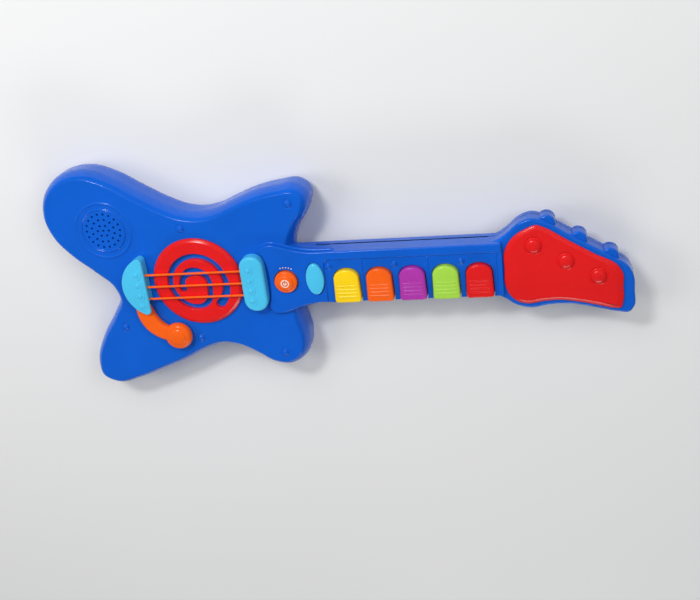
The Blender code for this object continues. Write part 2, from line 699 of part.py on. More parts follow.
def helix(radius, pitch, turns):
    """A coil's centreline, which rises from the origin."""
    points = []
    for i in range(round(turns * 8) + 1):
        angle = 2 * math.pi * i / 8
        points.append((radius * math.cos(angle), radius * math.sin(angle), pitch * i / 8))
    return points


# ---- buttons and keys

def build_buttons():
    lip = POWER_RADIUS + LIP + 0.35
    profile = [(0, 42), (3, 41.9), (5.2, 41.5), (6, 40.6), (7.8, 40.3), (8.8, 39.6), (POWER_RADIUS, 38.6),
               (POWER_RADIUS, LIP_HIGH), (lip, LIP_HIGH), (lip, LIP_LOW), (STEM_RADIUS, LIP_LOW),
               (STEM_RADIUS, BUTTON_STEM_END), (0, BUTTON_STEM_END)]
    finish(turned("power_button", profile, POWER_CENTRE, 18), "orange")
    lips = [r + LIP for r in MODE_RADII]
    button = bevel(plate("mode_button", [ellipse(MODE_CENTRE, MODE_RADII, 18)], LIP_LOW + 0.4, 40.2), 1.2)
    join(button,
         plate("mode_lip", [ellipse(MODE_CENTRE, lips, 18)], LIP_LOW, LIP_HIGH),
         posts("mode_stem", [MODE_CENTRE], STEM_RADIUS, BUTTON_STEM_END, 35, 8))
    finish(button, "cyan")


def key_lip(middle):
    """The lip that keeps a key in, short of the neck's side wall."""
    loop = key_outline(middle, LIP)
    for corner in loop[:2]:
        corner.y = -NECK_HALF + WALL + 0.5
    return loop


def build_keys():
    for i, colour in enumerate(KEY_COLOURS):
        middle = KEY_FIRST + KEY_PITCH * i
        key = bevel(plate(f"key_{colour}", [key_outline(middle, 0)], LIP_LOW, KEY_TOP), 1.3, 1)
        join(key, plate(f"{colour}_lip", [key_lip(middle)], LIP_LOW, LIP_HIGH))
        cut(key, plate(f"{colour}_hollow", [key_outline(middle, -1.8)], LIP_LOW - 3, KEY_TOP - 1.8))
        stem = posts(f"{colour}_stem", [(middle, KEY_STEM_Y)], STEM_RADIUS, KEY_STEM_END, KEY_TOP - 0.9, 8)
        join(key, stem)
        finish(key, colour)


# ---- electronics

def build_boards():
    board_top = MAIN_BOARD_LOW + BOARD_THICKNESS
    on_board = board_top + GAP
    finish(box("main_board", (58, -17, MAIN_BOARD_LOW), (104, 17, board_top)), "board")
    finish(box("sound_chip", (79, 4, on_board), (86, 12, on_board + 1.4)), "black")
    for name, (x, y) in (("power_switch", POWER_CENTRE), ("mode_switch", MODE_CENTRE)):
        switch = box(name, (x - 3, y - 3, on_board), (x + 3, y + 3, on_board + 1.5))
        join(switch, posts(name + "_top", [(x, y)], 1.7, on_board + 0.5, on_board + 2, 10))
        finish(switch, "black")
    key_board_top = KEY_BOARD_LOW + BOARD_THICKNESS
    finish(box("key_board", (105.5, -17.5, KEY_BOARD_LOW), (233, 5, key_board_top)), "board")
    sheet_low = key_board_top + GAP
    pads = [(KEY_FIRST + KEY_PITCH * i, KEY_STEM_Y) for i in range(len(KEY_COLOURS))]
    membrane = box("key_membrane", (109.5, -15.5, sheet_low), (232, 3.5, sheet_low + 1.1))
    join(membrane, posts("membrane_pads", pads, 5, sheet_low + 0.5, sheet_low + 2.5, 14))
    finish(membrane, "rubber")


def build_lights():
    for i, spot in enumerate(BODY_STUDS[:LED_STUDS] + NECK_STUDS):
        low = LIGHT_LOW if i < LED_STUDS else NECK_LIGHT_LOW
        profile = [(0, low + 5.3), (1.1, low + 5), (1.75, low + 4.2), (LIGHT_RADIUS, low + 3.2),
                   (LIGHT_RADIUS, low), (0, low)]
        finish(turned(f"light_{i + 1}", profile, spot, 8), "lens")


def build_speaker():
    frame = [(17, 30.3), (SPEAKER_RADIUS, 30.3), (SPEAKER_RADIUS, 28.8), (17.6, 28.3), (12.6, 20.5),
             (4, 20.5), (4, 22), (11.4, 22), (16, 29.2)]
    finish(turned("speaker_frame", frame, SPEAKER, 18, closed=True), "steel")
    cone = [(0, 26), (3, 25.7), (5, 24.6), (14.6, 29.9), (15.4, 29.9), (15.4, 29.3), (5.4, 23.4), (0, 23.2)]
    finish(turned("speaker_cone", cone, SPEAKER, 16), "paper")
    magnet = [(0, 20.2), (11, 20.2), (11, 14), (0, 14)]
    finish(turned("speaker_magnet", magnet, SPEAKER, 16), "black")


def build_battery_bay():
    half_x, half_y = TRAY_HALF
    low = WALL + GAP
    hollow_x, hollow_y = half_x - TRAY_WALL, half_y - TRAY_WALL
    tray = box("battery_tray", (-half_x, -half_y, low), (half_x, half_y, TRAY_TOP))
    join(tray,
         box("tray_flange", (-half_x - 5, -half_y - 3, low + 0.2), (half_x + 12, half_y + 3, low + 1.4)),
         posts("tray_boss", [(DOOR_SCREW_X, 0)], 3.8, 3, 9))
    cut(tray,
        box("tray_hollow", (-hollow_x, -hollow_y, BELOW), (hollow_x, hollow_y, TRAY_TOP - TRAY_WALL)),
        posts("tray_screw_hole", [(DOOR_SCREW_X, 0)], 1.6, 0, 7.5, 10))
    finish(tray, "black")
    end = BATTERY_HALF_LENGTH
    button = end + 0.9
    profile = [(0, button), (2.6, button), (2.6, end), (BATTERY_RADIUS - 0.5, end),
               (BATTERY_RADIUS, end - 0.5), (BATTERY_RADIUS, -end), (0, -end)]
    for i in range(3):
        y = BATTERY_PITCH * (i - 1)
        flip = -1 if i == 1 else 1
        cell = turned(f"battery_{i + 1}", profile, (0, 0), 14)
        cell.location = Vector((0, y, BATTERY_Z)) * MM
        cell.rotation_euler = (0, flip * math.pi / 2, 0)
        finish(cell, "cell")
        foot = (-flip * (end + 0.55), y, BATTERY_Z)
        spring = tube(f"battery_spring_{i + 1}", helix(2.2, 1, 1.5), 0.25, "steel", foot)
        spring.rotation_euler = (0, -flip * math.pi / 2, 0)
    for name, x in (("contact_plate_left", -28.8), ("contact_plate_right", 28.2)):
        finish(box(name, (x, -21, 5), (x + 0.6, 21, 16)), "steel")


def build_door():
    hinge = Vector((DOOR_HINGE_X, 0, (DOOR_LOW + WALL) / 2))
    door = box("battery_door", (DOOR_HINGE_X - DOOR_HEEL, -DOOR_HALF_WIDTH, DOOR_LOW),
               (DOOR_END_X, DOOR_HALF_WIDTH, WALL))
    shift = Vector(door.location) - hinge * MM
    door.data.transform(Matrix.Translation(shift))
    door.location = hinge * MM
    cut(door,
        posts("door_screw_recess", [(DOOR_SCREW_X, 0)], 3.1, BELOW, DOOR_LOW + 1.2),
        posts("door_screw_hole", [(DOOR_SCREW_X, 0)], 1.5, BELOW, 5, 10),
        boxes("finger_grooves", [((x, -7, BELOW), (x + 1, 7, DOOR_LOW + 0.6)) for x in (24, 26.5, 29)]))
    finish(door, "blue")
    screw = screw_profile(DOOR_LOW + 0.15, 0.85, 6, 2.6)
    finish(turned("door_screw", screw, (DOOR_SCREW_X, 0), 12), "steel")


def screw_profile(low, head, high, head_radius):
    """A round-headed screw driven from below, with its shank pointing up."""
    return [(0, high), (1.1, high), (1.1, low + head), (head_radius, low + head), (head_radius, low + 0.3),
            (head_radius - 0.6, low), (0, low)]


def build_case_screws():
    for i, spot in enumerate(BODY_POSTS + [NECK_POST, HEAD_POST]):
        low = SCREW_LOW if i < len(BODY_POSTS) else NECK_SCREW_LOW
        profile = screw_profile(low, 2, SCREW_TIP, COUNTERBORE - 0.5)
        finish(turned(f"case_screw_{i + 1}", profile, spot, 8), "steel")


def build_leads():
    routes = {
        "speaker_lead": [(-55, 37, 24), (-44, 30, 24.6), (-28, 22, 25.2), (-8, 15, 25.6), (12, 10, 25.6),
                         (30, 7, 25.2), (44, 5.5, 24.4), (56.8, 5, 23.6)],
        "battery_lead": [(44.2, -17, 6), (46.5, -17.5, 8.5), (49, -17.5, 12), (52, -16, 15.6),
                         (55, -13, 18.4), (58, -9, 20.3), (61, -5, 21.2)],
        "key_board_lead": [(104.8, -14, 23.4), (106, -14, 22.9), (106.9, -14.1, 21.9), (107.3, -14.2, 20.5),
                           (107.4, -14.2, 19.1)],
    }
    for name, route in routes.items():
        tube(name, route, 0.8, "lead")


PARTS, CUTTERS, FRAME = setup()
build_front_shell()
build_rear_shell()
build_headstock_panel()
build_disc()
build_bridge()
build_pickup()
build_strings()
build_whammy()
build_buttons()
build_keys()
build_boards()
build_lights()
build_speaker()
build_battery_bay()
build_door()
build_case_screws()
build_leads()
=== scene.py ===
import json
import math

import bmesh
import bpy
from mathutils import Matrix, Vector


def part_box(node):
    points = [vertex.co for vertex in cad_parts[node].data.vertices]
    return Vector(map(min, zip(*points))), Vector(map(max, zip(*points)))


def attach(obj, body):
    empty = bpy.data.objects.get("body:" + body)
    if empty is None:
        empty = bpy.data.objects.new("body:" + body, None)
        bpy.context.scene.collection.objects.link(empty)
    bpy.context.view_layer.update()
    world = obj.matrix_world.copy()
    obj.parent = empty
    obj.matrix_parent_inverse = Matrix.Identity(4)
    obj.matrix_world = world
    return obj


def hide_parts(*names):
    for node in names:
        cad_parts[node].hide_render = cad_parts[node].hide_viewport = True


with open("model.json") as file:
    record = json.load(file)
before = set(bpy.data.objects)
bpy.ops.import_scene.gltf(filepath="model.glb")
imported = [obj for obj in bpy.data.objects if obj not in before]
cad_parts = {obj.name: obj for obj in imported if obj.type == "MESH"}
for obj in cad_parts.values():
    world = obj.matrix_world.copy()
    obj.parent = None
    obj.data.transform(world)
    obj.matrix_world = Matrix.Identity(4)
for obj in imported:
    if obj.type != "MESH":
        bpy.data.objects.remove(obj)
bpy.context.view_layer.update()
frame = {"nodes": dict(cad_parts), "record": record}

MM = 0.001
GAP = 0.3                      # between pieces that touch
WALL = 2.3
EDGE = 0.25                    # the small chamfer beside the parting line
SIDE = 5.1                     # how far the body's sides bulge out of its face's outline
SHARP_ANGLE = 32               # degrees, above which an edge is shaded sharp
RECORD = frame["record"]
SLOT_OF = {part["node"]: part["material_slot"] for part in RECORD["subparts"]}
BODY_OF = {node: body for body, nodes in RECORD["behaviour"]["bodies"].items() for node in nodes}
ORIGIN = sum(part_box("spiral_disc"), Vector()) / 2
ORIGIN.z = 0


def local_box(node):
    """A CAD node's lowest and highest corners in the units of this script."""
    return [(corner - ORIGIN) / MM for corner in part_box(node)]


def middle(node):
    low, high = local_box(node)
    return (low + high) / 2


# Levels above the table
PARTING = local_box("front_shell")[0].z
REAR_RIM = local_box("rear_shell")[1].z
FACE = local_box("spiral_disc")[0].z - GAP
DISC_TOP = local_box("spiral_disc")[1].z
BRIDGE_TOP = local_box("bridge_cover")[1].z
PICKUP_TOP = local_box("pickup_cover")[1].z
STRING_Z = middle("string_middle").z
PANEL = FACE + 3
HEEL = FACE + 4.2
LIP_LOW = PANEL - 4.1          # the lips that keep the buttons and the keys in
LIP_HIGH = PANEL - 2.6
NECK_BACK = 10.0
HEAD_BACK = 13.0

# Outlines, counterclockwise, as the part has them
BODY_POINTS = [
    (72, -30), (72, 0), (74, 27), (80, 41), (89.5, 55), (91, 63), (86, 67.5), (72, 67), (54, 63.5),
    (36, 57), (22, 51.5), (8, 49.3), (-8, 51.5), (-24, 58.5), (-44, 70.5), (-62, 82), (-80, 88.5),
    (-98, 86), (-111, 75), (-116, 58), (-112, 42), (-100, 26), (-84, 11.5), (-71, -2), (-67.5, -15),
    (-76.5, -32), (-89.5, -50.5), (-98.3, -70), (-98, -82), (-87, -88), (-70, -84.5), (-48, -76.5),
    (-24, -67), (-8, -59.2), (9, -54.2), (26, -57.4), (40, -65.2), (52, -72.8), (64, -74.3),
    (73, -68), (76, -55), (73.5, -40)]
HEAD_POINTS = [
    (224, -20.4), (232, -21.8), (239, -25.6), (247, -31.2), (258, -34.2), (272, -32.2), (288, -32.2),
    (306, -36), (322, -39.8), (331, -40.4), (334.5, -36), (334.9, -24), (334.5, -12), (331, -3.6),
    (320, 4.6), (302, 15.8), (284, 27), (270, 35.6), (261, 38), (252, 35), (243, 27.5),
    (235, 22.2), (224, 20.4)]
PANEL_POINTS = [
    (240, 0), (240.2, -14.7), (243, -21.7), (248, -26.9), (256, -29.4), (268, -27.9), (280, -27.4),
    (294, -29.4), (308, -32.7), (319, -35.4), (324.5, -35.4), (326.3, -30), (326.5, -18), (326.3, -7.5),
    (323.5, -2.2), (306, 8.8), (285, 22), (271, 31), (264.5, 33.4), (256.5, 30.6), (249, 26.2),
    (243.8, 20.3), (240.5, 13)]
HEEL_POINTS = [
    (55.6, -24), (58.5, -28.4), (64, -29.4), (71, -28), (79, -25), (89, -22.4), (99, -20.8),
    (110, -20.8), (114, -14), (114, 14), (110, 20.9), (104, 20.9), (90, 21.8), (80, 23.8), (70, 27),
    (62, 28.7), (56, 27), (52.6, 23.4), (55.4, 19.5), (57.3, 13), (57.3, -16)]
OUTLINE_STEPS = 8
SECTION_POINTS = 9             # across a ridge's or a groove's round section
NECK_HALF = 21.2
NECK_START = 66.0
NECK_END = 238.6
TUNER_RADIUS = 6.7
TUNER_PITCH = 26.6
RECESS_START = 103.0           # the key panel's recess
RECESS_END = 260
RECESS_TOP = 14.4
RECESS_BOTTOM = -40            # past the neck's lower side

DISC_RADIUS = (local_box("spiral_disc")[1].x - local_box("spiral_disc")[0].x) / 2
# The swirl's arcs from its bulb inwards: centre, radius, first and last angle in degrees
SWIRL_ARCS = [((0.6, -2.5), 22.4, -47, 20), ((0, -0.4), 22.4, 30, 190), ((-1.2, -0.6), 20.9, 200, 256),
              ((-3.6, -8.7), 12.6, 282, 350), ((-1.65, -1.85), 11.25, -6, 196)]
# Its half width at each fraction of its way
SWIRL_HALF_WIDTHS = [(0, 3.7), (0.05, 3.2), (0.1, 2.3), (0.68, 2.2), (0.78, 3.2), (0.86, 3.4), (0.93, 2.3),
                     (1, 2.9)]

STRINGS = ["string_low", "string_middle", "string_high"]
STRING_LEVELS = [middle(name).y for name in STRINGS]
STRING_RADIUS = 0.9
STRING_PIVOT = local_box("string_middle")[1].x - 2.2

KEY_COLOURS = ["yellow", "orange", "purple", "green", "red"]
KEY_LIP = 1.2
KEY_RIBS = 4
STEM_RADIUS = 3                # the buttons' and the keys' stems
KEY_PITCH = middle("key_orange").x - middle("key_yellow").x
WHAMMY_PATH = [(-50.2, -14.6), (-48.3, -24), (-45.6, -31.5), (-41.6, -37.3), (-35.8, -41.8), (-29.3, -44.5)]
WHAMMY_HALF_WIDTHS = [5.2, 6.9, 7.3, 7.0, 6.5, 6.2]
WHAMMY_KNOB = (-24.0, -45.6)

BODY_STUDS = [(-7, 44), (-69.5, -38.5), (-7, -50.3), (61, -66), (81, 60)]
NECK_STUDS = [(middle(f"light_{i}").x, middle(f"light_{i}").y) for i in (5, 6, 7)]
SCREWS = [middle(f"case_screw_{i}") for i in range(1, 9)]
BODY_SCREWS = SCREWS[:6]
THIN_SCREWS = SCREWS[6:]       # in the neck and the head
SPEAKER = middle("speaker_frame")
GRILLE_RINGS = (1, 2, 3)
GRILLE_PITCH = 4.6
GRILLE_HOLE = 0.95


# ---- outlines

def smooth_loop(points):
    """A closed cubic curve through the points, with tangents weighted by spacing."""
    points = [Vector(p) for p in points]
    count = len(points)
    tangents = []
    for i, here in enumerate(points):
        back = here - points[i - 1]
        ahead = points[(i + 1) % count] - here
        weighted = back.normalized() * ahead.length + ahead.normalized() * back.length
        tangents.append(weighted / (back.length + ahead.length))
    loop = []
    for i, here in enumerate(points):
        there = points[(i + 1) % count]
        span = (there - here).length
        leaving = tangents[i] * span
        arriving = tangents[(i + 1) % count] * span
        for step in range(OUTLINE_STEPS):
            t = step / OUTLINE_STEPS
            loop.append((2 * t**3 - 3 * t**2 + 1) * here + (t**3 - 2 * t**2 + t) * leaving
                        + (3 * t**2 - 2 * t**3) * there + (t**3 - t**2) * arriving)
    return loop


def smooth_line(points, values, steps):
    """A cubic curve through the points, and the values that go with them."""
    rows = [Vector((*point, value)) for point, value in zip(points, values)]
    line = []
    for i in range(len(rows) - 1):
        before = rows[max(i - 1, 0)]
        here = rows[i]
        there = rows[i + 1]
        after = rows[min(i + 2, len(rows) - 1)]
        for step in range(steps + (i == len(rows) - 2)):
            t = step / steps
            line.append(0.5 * (2 * here + (there - before) * t
                               + (2 * before - 5 * here + 4 * there - after) * t**2
                               + (3 * here - before - 3 * there + after) * t**3))
    return [row.xy for row in line], [row.z for row in line]


def grown(loop, distance):
    """The loop moved outwards along its normals, or inwards for a negative distance."""
    count = len(loop)
    moved = []
    for i, here in enumerate(loop):
        along = loop[(i + 1) % count] - loop[i - 1]
        moved.append(here + Vector((along.y, -along.x)).normalized() * distance)
    return moved


def arc(centre, radii, first, last, count):
    """Points on an ellipse's arc, angles in degrees, both ends included."""
    points = []
    for i in range(count):
        angle = math.radians(first + (last - first) * i / (count - 1))
        points.append(Vector(centre[:2]) + Vector((radii[0] * math.cos(angle), radii[1] * math.sin(angle))))
    return points


def circle(centre, radius, count=48):
    return arc(centre, (radius, radius), 0, 360, count + 1)[:-1]


def ellipse(centre, radii):
    return arc(centre, radii, 0, 360, 73)[:-1]


def rounded_rectangle(centre, size, radius, count=10):
    loop = []
    for quarter, (sx, sy) in enumerate([(1, 1), (-1, 1), (-1, -1), (1, -1)]):
        corner = (centre[0] + sx * (size[0] / 2 - radius), centre[1] + sy * (size[1] / 2 - radius))
        loop += arc(corner, (radius, radius), 90 * quarter, 90 * quarter + 90, count)
    return loop


def stroke(path, half_widths, count=17):
    """The outline of a path drawn with a round pen of the given half widths."""
    path = [Vector(p) for p in path]
    left, right = [], []
    for i, here in enumerate(path):
        along = (path[min(i + 1, len(path) - 1)] - path[max(i - 1, 0)]).normalized()
        side = Vector((-along.y, along.x)) * half_widths[i]
        left.append(here + side)
        right.append(here - side)
    ahead = path[-1] - path[-2]
    behind = path[0] - path[1]
    tip = math.degrees(math.atan2(ahead.y, ahead.x))
    tail = math.degrees(math.atan2(behind.y, behind.x))
    nose = arc(path[-1], (half_widths[-1],) * 2, tip - 90, tip + 90, count)[1:-1]
    heel = arc(path[0], (half_widths[0],) * 2, tail - 90, tail + 90, count)[1:-1]
    return right + nose + left[::-1] + heel


# ---- profiles: how far the outline is grown at each level, lowest first

def quarter(count):
    """Angles from 0 to 90 degrees, in radians."""
    return [math.pi / 2 * i / (count - 1) for i in range(count)]


def top_edge(radius, high, count=7):
    """The convex round that ends a wall at its top."""
    return [(radius * (math.cos(a) - 1), high - radius * (1 - math.sin(a))) for a in quarter(count)]


def bottom_edge(radius, low):
    """The convex round that starts a wall at its bottom."""
    return [(radius * (math.sin(a) - 1), low + radius * (1 - math.cos(a))) for a in quarter(7)]


def foot(radius, low):
    """The concave round where a raised shape leaves a flat one, from just under it."""
    profile = [(radius + 0.1, low - 0.6)]
    for a in quarter(6):
        profile.append((radius * (1 - math.sin(a)), low + 0.02 + radius * (1 - math.cos(a))))
    return profile


def mound(low, high, foot_radius, edge_radius):
    """The side of a shape raised from a flat one."""
    return foot(foot_radius, low) + top_edge(edge_radius, high)


def sink(low, high, floor_radius, edge_radius):
    """A recess's cutter: a rounded floor edge, and a rim that rounds over outwards."""
    profile = bottom_edge(floor_radius, low)
    profile += [(edge_radius * (1 - math.cos(a)), high - edge_radius * (1 - math.sin(a))) for a in quarter(6)]
    return profile + [(edge_radius + 0.3, high + 0.8)]


# ---- solids

def new_object(name, mesh):
    made = bpy.data.meshes.new(name)
    mesh.to_mesh(made)
    mesh.free()
    obj = bpy.data.objects.new(name, made)
    bpy.context.scene.collection.objects.link(obj)
    return obj


def skin(name, rings, closed=False):
    """A closed surface over rings of points in millimetres, which are wound counterclockwise."""
    mesh = bmesh.new()
    rows = []
    for ring in rings:
        rows.append([mesh.verts.new(ORIGIN + Vector(point) * MM) for point in ring])
    pairs = list(zip(rows, rows[1:] + rows[:1] if closed else rows[1:]))
    for low, high in pairs:
        count = max(len(low), len(high))
        for i in range(count):
            j = (i + 1) % count
            if len(low) == 1:
                mesh.faces.new((low[0], high[j], high[i]))
            elif len(high) == 1:
                mesh.faces.new((low[i], low[j], high[0]))
            else:
                mesh.faces.new((low[i], low[j], high[j], high[i]))
    if not closed:
        if len(rows[0]) > 1:
            mesh.faces.new(rows[0][::-1])
        if len(rows[-1]) > 1:
            mesh.faces.new(rows[-1])
    return new_object(name, mesh)


def stacked(name, outline, profile, crown=0.0):
    """An outline grown by a profile's offsets at its levels. The top can rise to its middle."""
    grow = outline if callable(outline) else lambda distance: grown(outline, distance)
    rings = [[(p.x, p.y, z) for p in grow(distance)] for distance, z in profile]
    if crown:
        top = [Vector(p) for p in rings[-1]]
        centre = sum(top, Vector()) / len(top)
        for share in (0.85, 0.65, 0.4, 0.15):
            rise = Vector((0, 0, crown * (1 - share**2)))
            rings.append([centre + (p - centre) * share + rise for p in top])
    return skin(name, rings)


def turned(name, profile, centre, steps=64, closed=False):
    """A turned piece. The profile of radius and level runs up its outer side."""
    rings = []
    for radius, z in profile:
        if radius:
            rings.append([(p.x, p.y, z) for p in circle(centre, radius, steps)])
        else:
            rings.append([(centre[0], centre[1], z)])
    return skin(name, rings, closed)


def ridge(name, centre, radius, half_width, height, level):
    """A round ridge that stands on a level, with a soft section."""
    profile = [(radius - half_width, level - 0.8), (radius + half_width, level - 0.8)]
    for i in range(SECTION_POINTS):
        t = 1 - 2 * i / (SECTION_POINTS - 1)
        profile.append((radius + half_width * t, level + 0.02 + height * (0.5 + 0.5 * math.cos(math.pi * t))))
    return turned(name, profile, centre, closed=True)


def groove(name, centre, radius, half_width, depth, level):
    """The cutter of a round groove in a level."""
    profile = []
    for i in range(SECTION_POINTS):
        t = 2 * i / (SECTION_POINTS - 1) - 1
        profile.append((radius + half_width * t, level + 0.1 - depth * math.cos(math.pi / 2 * t) ** 0.7))
    profile += [(radius + half_width, level + 4), (radius - half_width, level + 4)]
    return turned(name, profile, centre, closed=True)


def dome(name, centre, radius, height, level, flare=0.35):
    """A round cap that stands on a level, with a soft foot."""
    profile = [(0, level - 0.8), (radius + flare, level - 0.8), (radius + flare, level + 0.02),
               (radius + flare * 0.4, level + 0.08)]
    for i in range(9):
        a = math.radians(4 + 86 * i / 8)
        profile.append((radius * math.cos(a) if i < 8 else 0, level + 0.1 + height * math.sin(a)))
    return turned(name, profile, centre, 40)


def rod(name, start, end, radius, sides=16):
    """A straight capsule between two points."""
    start, end = Vector(start), Vector(end)
    axis = (end - start).normalized()
    across = axis.orthogonal().normalized()
    up = axis.cross(across)
    turns = [2 * math.pi * i / sides for i in range(sides)]
    rings = []
    for middle_of_end, direction, angles in ((start, -1, quarter(5)[::-1]), (end, 1, quarter(5))):
        for a in angles:
            point = middle_of_end + axis * direction * radius * math.sin(a)
            size = radius * math.cos(a)
            if size < 1e-6:
                rings.append([point])
            else:
                rings.append([point + (across * math.cos(t) + up * math.sin(t)) * size for t in turns])
    return skin(name, rings)


def prism(name, low, high):
    """A plain box."""
    loop = [(low[0], low[1]), (high[0], low[1]), (high[0], high[1]), (low[0], high[1])]
    return skin(name, [[(x, y, z) for x, y in loop] for z in (low[2], high[2])])


def bake(obj):
    """Replaces an object's mesh by what its modifiers make of it."""
    evaluated = obj.evaluated_get(bpy.context.evaluated_depsgraph_get())
    mesh = bpy.data.meshes.new_from_object(evaluated)
    obj.modifiers.clear()
    obj.data = mesh


def combined(target, operation, others):
    """Joins or cuts a solid with others, which are used up."""
    for other in others:
        step = target.modifiers.new(operation, "BOOLEAN")
        step.operation = operation
        step.solver = "EXACT"
        step.object = other
    bake(target)
    for other in others:
        bpy.data.objects.remove(other)
    return target


def join(target, *others):
    return combined(target, "UNION", others)


def cut(target, *others):
    return combined(target, "DIFFERENCE", others)


def merged(name, objects):
    """Separate solids that don't touch, in one object."""
    mesh = bmesh.new()
    for obj in objects:
        mesh.from_mesh(obj.data)
        bpy.data.objects.remove(obj)
    return new_object(name, mesh)


def finished(obj, node, material=None, stands_for=True):
    """Shades a piece, gives it its node's slot, material and body, and hides the CAD node."""
    slot = SLOT_OF[node]
    obj.data.materials.clear()
    obj.data.materials.append(material or MATERIALS[slot])
    obj.data.shade_smooth()
    obj.data.set_sharp_from_angle(angle=math.radians(SHARP_ANGLE))
    normals = obj.modifiers.new("normals", "WEIGHTED_NORMAL")
    normals.keep_sharp = True
    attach(obj, BODY_OF[node])
    if stands_for:
        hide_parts(node)
    return obj


# ---- materials

def add(tree, kind, inputs=(), **settings):
    """A shader node with its settings, and its inputs set or linked."""
    node = tree.nodes.new(kind)
    for name, value in settings.items():
        setattr(node, name, value)
    connect(tree, node, inputs)
    return node


def connect(tree, node, inputs):
    for socket, value in dict(inputs).items():
        if isinstance(value, bpy.types.NodeSocket):
            tree.links.new(value, node.inputs[socket])
        else:
            node.inputs[socket].default_value = value


def blank(name):
    made = bpy.data.materials.new(name)
    made.use_nodes = True
    tree = made.node_tree
    return made, tree, tree.nodes["Principled BSDF"], add(tree, "ShaderNodeTexCoord").outputs["Object"]


def noise(tree, place, scale, detail=3.0, low=0.0, high=1.0):
    """Noise between two values."""
    made = add(tree, "ShaderNodeTexNoise", {"Vector": place, "Scale": scale, "Detail": detail})
    spread = {"Value": made.outputs[0], "From Min": 0.3, "From Max": 0.7, "To Min": low, "To Max": high}
    return add(tree, "ShaderNodeMapRange", spread).outputs[0]


def bump(tree, height, distance, strength=1.0, under=None):
    inputs = {"Height": height, "Distance": distance, "Strength": strength}
    if under:
        inputs["Normal"] = under
    return add(tree, "ShaderNodeBump", inputs).outputs[0]


def mottled(tree, colour, place, scale, low, high, detail=4):
    """A colour, or a colour socket, made cloudy by noise between two brightnesses."""
    if not isinstance(colour, bpy.types.NodeSocket):
        colour = (*colour, 1)
    inputs = {"Value": noise(tree, place, scale, detail, low, high), "Color": colour}
    return add(tree, "ShaderNodeHueSaturation", inputs).outputs[0]


def moulded_plastic(name, colour, roughness, coat=0.1, glow=0.05):
    """Glossy moulding with a faint cloudy colour and an orange-peel surface."""
    made, tree, shader, place = blank(name)
    gloss = noise(tree, place, 140, 5, roughness - 0.04, roughness + 0.07)
    peel = bump(tree, noise(tree, place, 190, 2), 0.00003, 0.4)
    grain = bump(tree, noise(tree, place, 2600, 2), 0.000006, 0.5, peel)
    connect(tree, shader, {
        "Base Color": mottled(tree, colour, place, 26, 0.95, 1.05), "Roughness": gloss,
        "Normal": grain, "Specular IOR Level": 0.32,
        "Coat Weight": coat, "Coat Roughness": 0.06, "Subsurface Weight": glow,
        "Subsurface Radius": (1.0, 0.8, 0.6), "Subsurface Scale": 0.0012})
    return made


def rubber(name, colour):
    made, tree, shader, place = blank(name)
    connect(tree, shader, {
        "Base Color": mottled(tree, colour, place, 60, 0.9, 1.05),
        "Roughness": noise(tree, place, 300, 4, 0.6, 0.75),
        "Normal": bump(tree, noise(tree, place, 1800, 3), 0.00002)})
    return made


def circuit_board(name, colour):
    """Green solder mask with paler tracks and tinned pads."""
    made, tree, shader, place = blank(name)
    cells = add(tree, "ShaderNodeTexVoronoi", {"Vector": place, "Scale": 260}, distance="MANHATTAN")
    tracks = add(tree, "ShaderNodeTexBrick", {
        "Vector": place, "Scale": 180, "Mortar Size": 0.05, "Color1": (*colour, 1),
        "Color2": tuple(c * 0.8 for c in colour) + (1,), "Mortar": tuple(c * 1.9 for c in colour) + (1,)})
    pads = add(tree, "ShaderNodeMath", {0: cells.outputs[0], 1: 0.12}, operation="LESS_THAN")
    mixed = add(tree, "ShaderNodeMix", {0: pads.outputs[0], 6: tracks.outputs[0], 7: (0.6, 0.6, 0.58, 1)},
                data_type="RGBA")
    connect(tree, shader, {
        "Base Color": mixed.outputs[2], "Metallic": pads.outputs[0],
        "Roughness": noise(tree, place, 200, 3, 0.3, 0.45),
        "Normal": bump(tree, tracks.outputs[1], 0.00003)})
    return made


def zinc_steel(name, colour):
    made, tree, shader, place = blank(name)
    brushed = add(tree, "ShaderNodeMapping", {"Vector": place, "Scale": (200, 3000, 3000)})
    lines = noise(tree, brushed.outputs[0], 1.0, 3)
    connect(tree, shader, {
        "Base Color": mottled(tree, colour, place, 400, 0.85, 1.1, 3), "Metallic": 1.0,
        "Roughness": noise(tree, place, 500, 3, 0.22, 0.38),
        "Normal": bump(tree, lines, 0.00001)})
    return made


def battery_wrap(name, colour):
    """A plain printed sleeve with a silver band by one end."""
    made, tree, shader, place = blank(name)
    along = add(tree, "ShaderNodeSeparateXYZ", {"Vector": place})
    edge = ORIGIN.x + 9 * MM
    fade = 0.2 * MM
    band = add(tree, "ShaderNodeMapRange", {
        "Value": along.outputs[0], "From Min": edge - fade, "From Max": edge + fade})
    mixed = add(tree, "ShaderNodeMix", {0: band.outputs[0], 6: (*colour, 1), 7: (0.5, 0.52, 0.5, 1)},
                data_type="RGBA")
    connect(tree, shader, {
        "Base Color": mottled(tree, mixed.outputs[2], place, 80, 0.9, 1.05), "Metallic": 0.5,
        "Roughness": noise(tree, place, 300, 3, 0.2, 0.32),
        "Coat Weight": 0.5})
    return made


def clear_lens(name, colour):
    made, tree, shader, place = blank(name)
    connect(tree, shader, {
        "Base Color": (*colour, 1), "Roughness": noise(tree, place, 300, 3, 0.04, 0.12),
        "Transmission Weight": 0.85, "IOR": 1.5, "Normal": bump(tree, noise(tree, place, 900), 0.00001)})
    return made


